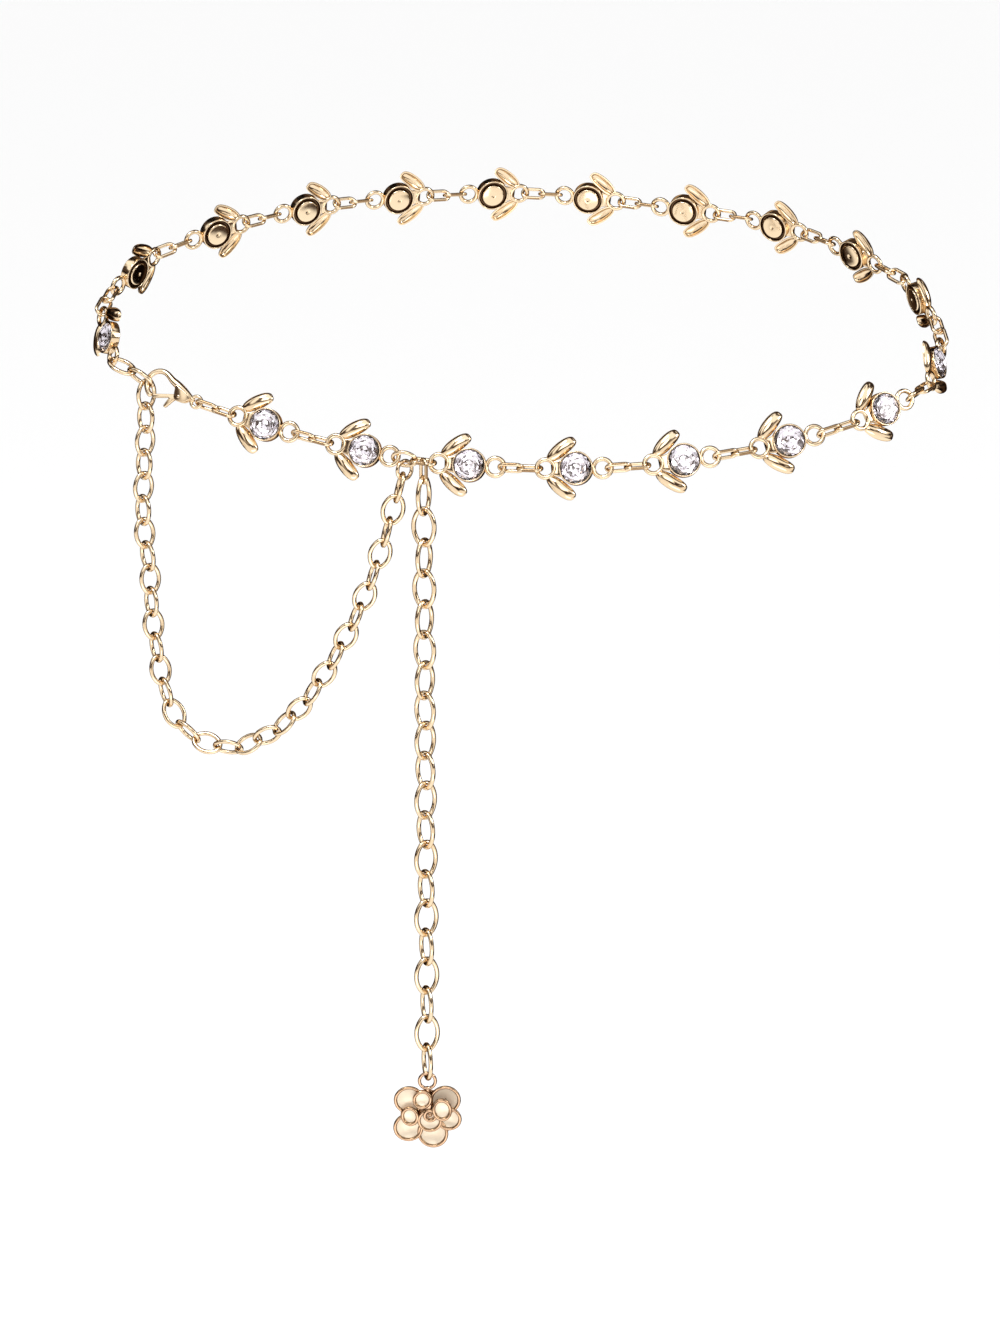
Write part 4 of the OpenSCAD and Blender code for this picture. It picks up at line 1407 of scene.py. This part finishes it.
@dataclass
class Rose:
    """The rose pendant: cupped petals with rolled edges on a round base, a curled bud and a ring on top."""

    layout: Layout
    petals: tuple[Petal, ...] = (
        Petal(-5.4, 5.0, 4.5, 0, -4), Petal(5.2, 5.0, 4.6, -0.1, -4), Petal(6.3, -0.9, 3.7, 0.15, -3),
        Petal(1.5, -5.4, 4.6, -0.1, -4), Petal(-5.7, -3.6, 4.4, 0.1, -4),
        Petal(-5.2, 0.3, 2.7, 1.1, 6, 1.15, 95), Petal(-1.5, 5.6, 2.9, 1.15, 5),
        Petal(4.3, 2.7, 2.95, 1.95, 8, 1.2, 108), Petal(0.7, -0.9, 3.7, 1.35, 3),
        Petal(0.8, 0.9, 2.1, 2.0, 0))
    sheet: float = 0.55
    bead: float = 0.5
    cupping: float = 0.2
    crest: float = 0.26
    bud_height: float = 0.62
    bud_half: float = 0.16
    bud_z: float = 1.62
    bud_shade: float = 2.0
    bud_at: Span = (0.8, 1)
    bud_r: Span = (0.35, 0.95)
    bud_turns: Span = (-60, 450)
    wave_out: float = 0.02
    wave_up: float = 0.06
    base: tuple[Span, ...] = (
        (0, -2.4), (2.5, -2.4), (4, -2.36), (5.4, -2.2), (6.8, -1.85), (7.7, -1.45), (8.05, -1.1),
        (7.9, -1.0), (7.4, -1.0), (6.6, -1.1), (4.8, -1.1), (3.4, -0.3), (2.2, 0.4), (0, 0.7))

    def _petal(self, petal: Petal) -> Skin:
        """A cupped petal: a dish between two balls with a bead round its rim, its edge a little wavy.

        Args:
            petal: its place and size.

        Returns:
            The petal, its dish in the second finish and its bead's sides in the third, a painted shade.
            Dish: z = R - d - sqrt(R^2 - s^2). Wave: radius times 1 + a (s / r) cos(2 t + x), height plus
            b (s / r)^2 cos(3 t + y). Longer: p + (l - 1)(p . d) d.
        """
        x, y, r = petal.x, petal.y, petal.r
        depth = self.cupping * r
        rim = r - self.bead
        top_r = (rim ** 2 + depth ** 2) / (2 * depth)
        s = np.linspace(0, rim - 0.5, 9)
        top = np.stack([s, top_r - depth - np.sqrt(top_r ** 2 - s ** 2)], axis=1)
        bead = arc((rim, -0.12), self.bead, 196, -62, 15)
        s = np.linspace(rim - 0.1, 0, 7)
        under = np.stack([s, top_r - depth - np.sqrt((top_r + self.sheet) ** 2 - s ** 2)], axis=1)
        skin = lathe(np.vstack([top, bead, under]), 52)
        middle = skin.centres()
        run = np.hypot(middle[:, 0], middle[:, 1])
        dish = top_r - depth - np.sqrt(top_r ** 2 - np.minimum(run, rim) ** 2)
        in_dish = (run < rim - 0.5) & (middle[:, 2] > dish - self.sheet / 2)
        # Painted shade: the bead's sides off its crest get a darker gold in place of the shade and dark
        # reflections on them.
        off_crest = np.abs(run - rim) > self.crest
        skin.finish = np.where(in_dish, Face.SECOND, np.where(off_crest, Face.THIRD, Face.MAIN))
        p = skin.points.copy()
        share = np.hypot(p[:, 0], p[:, 1]) / r
        angle = np.arctan2(p[:, 1], p[:, 0])
        p[:, :2] *= (1 + self.wave_out * share * np.cos(2 * angle + x))[:, None]
        p[:, 2] += self.wave_up * share ** 2 * np.cos(3 * angle + y)
        way = np.array([math.cos(math.radians(petal.along)), math.sin(math.radians(petal.along)), 0.0])
        p += (petal.longer - 1) * np.outer(p @ way, way)
        return skin.mapped(about_axis(p, (-y, x, 0), petal.lean) + [x, y, petal.z])

    def _base(self) -> Skin:
        """The round base that carries the petals: its profile spun."""
        return lathe(np.array(self.base), 64)

    def _bud(self) -> Skin:
        """The curled bud: a ribbon on a spiral whose radius and angle grow evenly, one and a quarter turns.

        Returns:
            The ribbon as a closed surface, its lower part in the third finish, a painted shade.
        """
        t = np.linspace(0, 1, 48)
        angle = np.radians(self.bud_turns[0] + self.bud_turns[1] * t)
        r = self.bud_r[0] + self.bud_r[1] * t
        path = np.stack([r * np.cos(angle), r * np.sin(angle)], axis=1)
        tangent = np.gradient(path, axis=0)
        tangent /= np.linalg.norm(tangent, axis=1, keepdims=True)
        normal = np.stack([-tangent[:, 1], tangent[:, 0]], axis=1)
        c, s = ring_points(20)
        aside = self.bud_half * np.sign(c) * np.abs(c) ** 0.7
        height = self.bud_height * np.sign(s) * np.abs(s) ** 0.5
        xy = path[:, None] + aside[None, :, None] * normal[:, None]
        z = self.bud_z + height[None] * (1 - 0.25 * t[:, None]) + 0.1 * np.cos(2 * angle)[:, None]
        skin = grid_skin(np.concatenate([xy, z[..., None]], -1), caps=(True, True))
        # Painted shade: the ribbon below bud_shade gets a darker gold in place of the shade between its
        # turns.
        skin.finish = np.where(skin.centres()[:, 2] < self.bud_shade, Face.THIRD, Face.MAIN)
        return skin.shifted((*self.bud_at, 0))

    def build(self) -> list[Skin]:
        """The rose and its ring.

        Returns:
            Base, bud, the ball under it, foot, petals and ring in the part's frame.
        """
        layout = self.layout
        foot = planar_tube(np.stack([np.zeros(6), np.linspace(7.1, 8.6, 6)], axis=1), 0.8, False, 20)
        skins = [self._base(), self._bud(), ball((*self.bud_at, 1.1), 0.8), foot.shifted((0, 0, -0.2)),
                 *(self._petal(petal) for petal in self.petals)]
        ring = wire_ring(layout.bail_r, layout.bail_wire, 56)
        return [s.moved(layout.rose_place) for s in skins] + [ring.moved(layout.bail_place)]

    def dress(self, finishes: Finishes) -> bpy.types.Object:
        """Makes the rose's piece in rosy gold, with satin dishes and painted shade on the beads' sides and
        the bud's lower part.
        """
        return make_piece("rose_pendant_gold", self.build(), ["rose_pendant"], Body.ROSE,
                          [finishes.rosy, finishes.satin, finishes.painted_shade])


# Studio


@dataclass(frozen=True)
class SoftBox:
    """A rectangular area light: its name, place and size in metres, and its power in watts."""

    name: str
    at: Spot
    wide: float
    high: float
    power: float

    def place(self, target: np.ndarray) -> None:
        """Adds the light, facing a target.

        Args:
            target: what it faces, in metres.
        """
        data = bpy.data.lights.new(self.name, "AREA")
        data.shape, data.size, data.size_y, data.energy = "RECTANGLE", self.wide, self.high, self.power
        lamp = bpy.data.objects.new(self.name, data)
        bpy.context.scene.collection.objects.link(lamp)
        lamp.location = self.at
        lamp.visible_camera = False
        back = np.array(self.at) - target
        pitch = math.atan2(math.hypot(back[0], back[1]), back[2])
        lamp.rotation_euler = (pitch, 0.0, math.atan2(back[0], -back[1]))


@dataclass(frozen=True)
class Studio:
    """A plain pale floor, a soft light tent with a dark band and a dark ring at its back, and the camera.

    Lengths are in metres here. A stop is a place on a colour ramp and its colour.
    """

    floor_z: float = -0.62
    floor_half: float = 40.0
    tent: float = 1.06
    gloss_gain: float = 1.15
    dark: Colour = (0.05, 0.03, 0.02, 1.0)
    back_way: Spot = (0.0, 1.0, 0.0)
    patch_scale: float = 2.2
    patch_detail: float = 0.5
    patch_shift: Spot = (3.0, 1.0, 0.0)
    clean_low: Span = (-0.62, -0.56)
    patch_way: Span = (-0.55, -0.1)
    patch_lift: Span = (0.03, -0.05)
    object_middle: Spot = (0.0, 0.0, -0.08)
    camera_at: Spot = (-0.005, -0.933, 0.145)
    pitch: float = 15.0
    sensor: float = 36.0
    lens: float = 86.4
    boxes: tuple[SoftBox, ...] = (
        SoftBox("high_soft_box", (-0.5, -0.7, 1.3), 0.5, 0.5, 8.0),
        SoftBox("side_soft_box", (1.2, -0.5, 0.5), 0.4, 0.4, 4.0),
        SoftBox("front_soft_box", (0.0, -1.5, 0.75), 1.0, 0.7, 2.8),
        SoftBox("low_soft_box", (0.0, -0.75, -0.53), 0.6, 0.3, 0.85))

    def floor(self) -> None:
        """A large flat sheet under the object."""
        h, z = self.floor_half, self.floor_z
        mesh = bpy.data.meshes.new("studio_floor")
        mesh.from_pydata([(-h, -h, z), (h, -h, z), (h, h, z), (-h, h, z)], [], [(0, 1, 2, 3)])
        mesh.materials.append(PaleFloor().material())
        floor = bpy.data.objects.new("studio_floor", mesh)
        bpy.context.scene.collection.objects.link(floor)
        floor.visible_glossy = False

    @staticmethod
    def ramp(tree: bpy.types.NodeTree, stops: Sequence[tuple[float, Colour]]) -> bpy.types.Node:
        """A colour ramp.

        Args:
            tree: the node tree.
            stops: places and colours, first and last included.

        Returns:
            The node.
        """
        node = tree.nodes.new("ShaderNodeValToRGB")
        elements = node.color_ramp.elements
        elements[0].position, elements[0].color = stops[0]
        elements[1].position, elements[1].color = stops[-1]
        for position, colour in stops[1:-1]:
            elements.new(position).color = colour
        return node

    def tent_light(self) -> None:
        """The world: even white light for matt surfaces, and for gloss a white tent with dark warm parts.

        The dark parts are a band a little above the horizon, a ring round the direction at the object's back,
        which draws the metal's edges, and patches of noise, fewer at the front. The lowest part stays white.
        """
        world = bpy.data.worlds.new("light_tent")
        bpy.context.scene.world = world
        world.use_nodes = True
        tree = world.node_tree
        tree.nodes.clear()
        new = tree.nodes.new
        where, split = new("ShaderNodeTexCoord"), new("ShaderNodeSeparateXYZ")
        path = new("ShaderNodeLightPath")
        height = stretch(tree, (-1.0, 1.0), (0.0, 1.0))
        band = self.ramp(tree, ((0.0, WHITE), (0.5, (0.85, 0.8, 0.75, 1)), (0.52, self.dark),
                                (0.56, self.dark), (0.6, (0.9, 0.85, 0.8, 1)), (0.7, WHITE), (1.0, WHITE)))
        towards = new("ShaderNodeVectorMath")
        towards.operation = "DOT_PRODUCT"
        towards.inputs[1].default_value = self.back_way
        ring = self.ramp(tree, ((0.0, WHITE), (0.12, WHITE), (0.24, self.dark), (0.82, self.dark),
                                (0.9, (0.9, 0.87, 0.84, 1)), (1.0, WHITE)))
        spot = new("ShaderNodeMapping")
        spot.inputs["Location"].default_value = self.patch_shift
        patches = noise(tree, self.patch_scale, self.patch_detail)
        lift = stretch(tree, self.patch_way, self.patch_lift)
        lifted = new("ShaderNodeMath")
        patch = self.ramp(tree, ((0.0, self.dark), (0.39, self.dark), (0.44, (0.5, 0.46, 0.42, 1)),
                                 (0.49, WHITE), (1.0, WHITE)))
        clean = stretch(tree, self.clean_low, (0.0, 1.0))
        with_ring, with_patches = colour_mix(tree, "MULTIPLY"), colour_mix(tree, "MULTIPLY")
        plain, shaped = new("ShaderNodeBackground"), new("ShaderNodeBackground")
        mix = new("ShaderNodeMixShader")
        plain.inputs["Color"].default_value = WHITE
        plain.inputs["Strength"].default_value = self.tent
        shaped.inputs["Strength"].default_value = self.tent * self.gloss_gain
        out = new("ShaderNodeOutputWorld")
        wire_nodes(tree, (
            (where, "Generated", split, "Vector"), (where, "Generated", spot, "Vector"),
            (where, "Generated", towards, 0), (split, "Z", height, "Value"), (split, "Z", clean, "Value"),
            (height, "Result", band, "Fac"), (towards, "Value", ring, "Fac"),
            (towards, "Value", lift, "Value"), (spot, "Vector", patches, "Vector"),
            (patches, "Fac", lifted, 0), (lift, "Result", lifted, 1), (lifted, "Value", patch, "Fac"),
            (clean, "Result", with_ring, "Factor"), (clean, "Result", with_patches, "Factor"),
            (band, "Color", with_ring, "A"), (ring, "Color", with_ring, "B"),
            (with_ring, "Result", with_patches, "A"), (patch, "Color", with_patches, "B"),
            (with_patches, "Result", shaped, "Color"), (path, "Is Glossy Ray", mix, "Fac"),
            (plain, "Background", mix, 1), (shaped, "Background", mix, 2), (mix, "Shader", out, "Surface")))

    def camera(self) -> None:
        """The camera, pitched down and looking along +Y."""
        data = bpy.data.cameras.new("camera")
        data.sensor_width, data.lens = self.sensor, self.lens
        data.clip_start, data.clip_end = 0.05, 200.0
        camera = bpy.data.objects.new("camera", data)
        bpy.context.scene.collection.objects.link(camera)
        camera.location = self.camera_at
        camera.rotation_euler = (math.radians(90 - self.pitch), 0.0, 0.0)
        bpy.context.scene.camera = camera

    def build(self) -> None:
        """Sets up floor, light and camera."""
        self.floor()
        self.tent_light()
        for box in self.boxes:
            box.place(np.array(self.object_middle))
        self.camera()
        bpy.context.scene.view_settings.view_transform = "Standard"


def link_runs(layout: Layout) -> list[LinkRun]:
    """The runs of links, one for each CAD node of links.

    Args:
        layout: where every link is.

    Returns:
        The runs in order.
    """
    small = layout.small
    eye_pair = layout.pair_places(layout.eye_end, layout.loop[0], layout.eye_hold, layout.small_turn)
    return [
        LinkRun("front_links", small, layout.pairs(1, 7),
                [(layout.wide, layout.wide_place), (small, layout.second_place)]),
        LinkRun("side_links", small, [*layout.pairs(8, 10), *eye_pair, layout.hanger_place]),
        LinkRun("back_links", small, layout.pairs(11, layout.motifs - 1)),
        LinkRun("extender_chain", layout.swag, layout.extender_places),
        LinkRun("swag_chain", layout.swag, layout.swag_places),
        LinkRun("jump_ring", layout.jump, [layout.jump_place]),
        LinkRun("tail_chain", layout.tail, layout.tail_places)]


def main() -> None:
    """Builds every piece in order."""
    logging.basicConfig(level=logging.INFO, format="%(name)s %(message)s")
    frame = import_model()
    LOG.info("CAD nodes: %d", len(frame["nodes"]))
    layout, finishes = Layout(), Finishes()
    for number in range(1, layout.motifs + 1):
        Motif(layout, number).dress(finishes)
        Stone(layout, number).dress(finishes)
    for run in link_runs(layout):
        run.dress(finishes)
    Clasp(layout).dress(finishes)
    Rose(layout).dress(finishes)
    Studio().build()


if __name__ == "__main__":
    main()
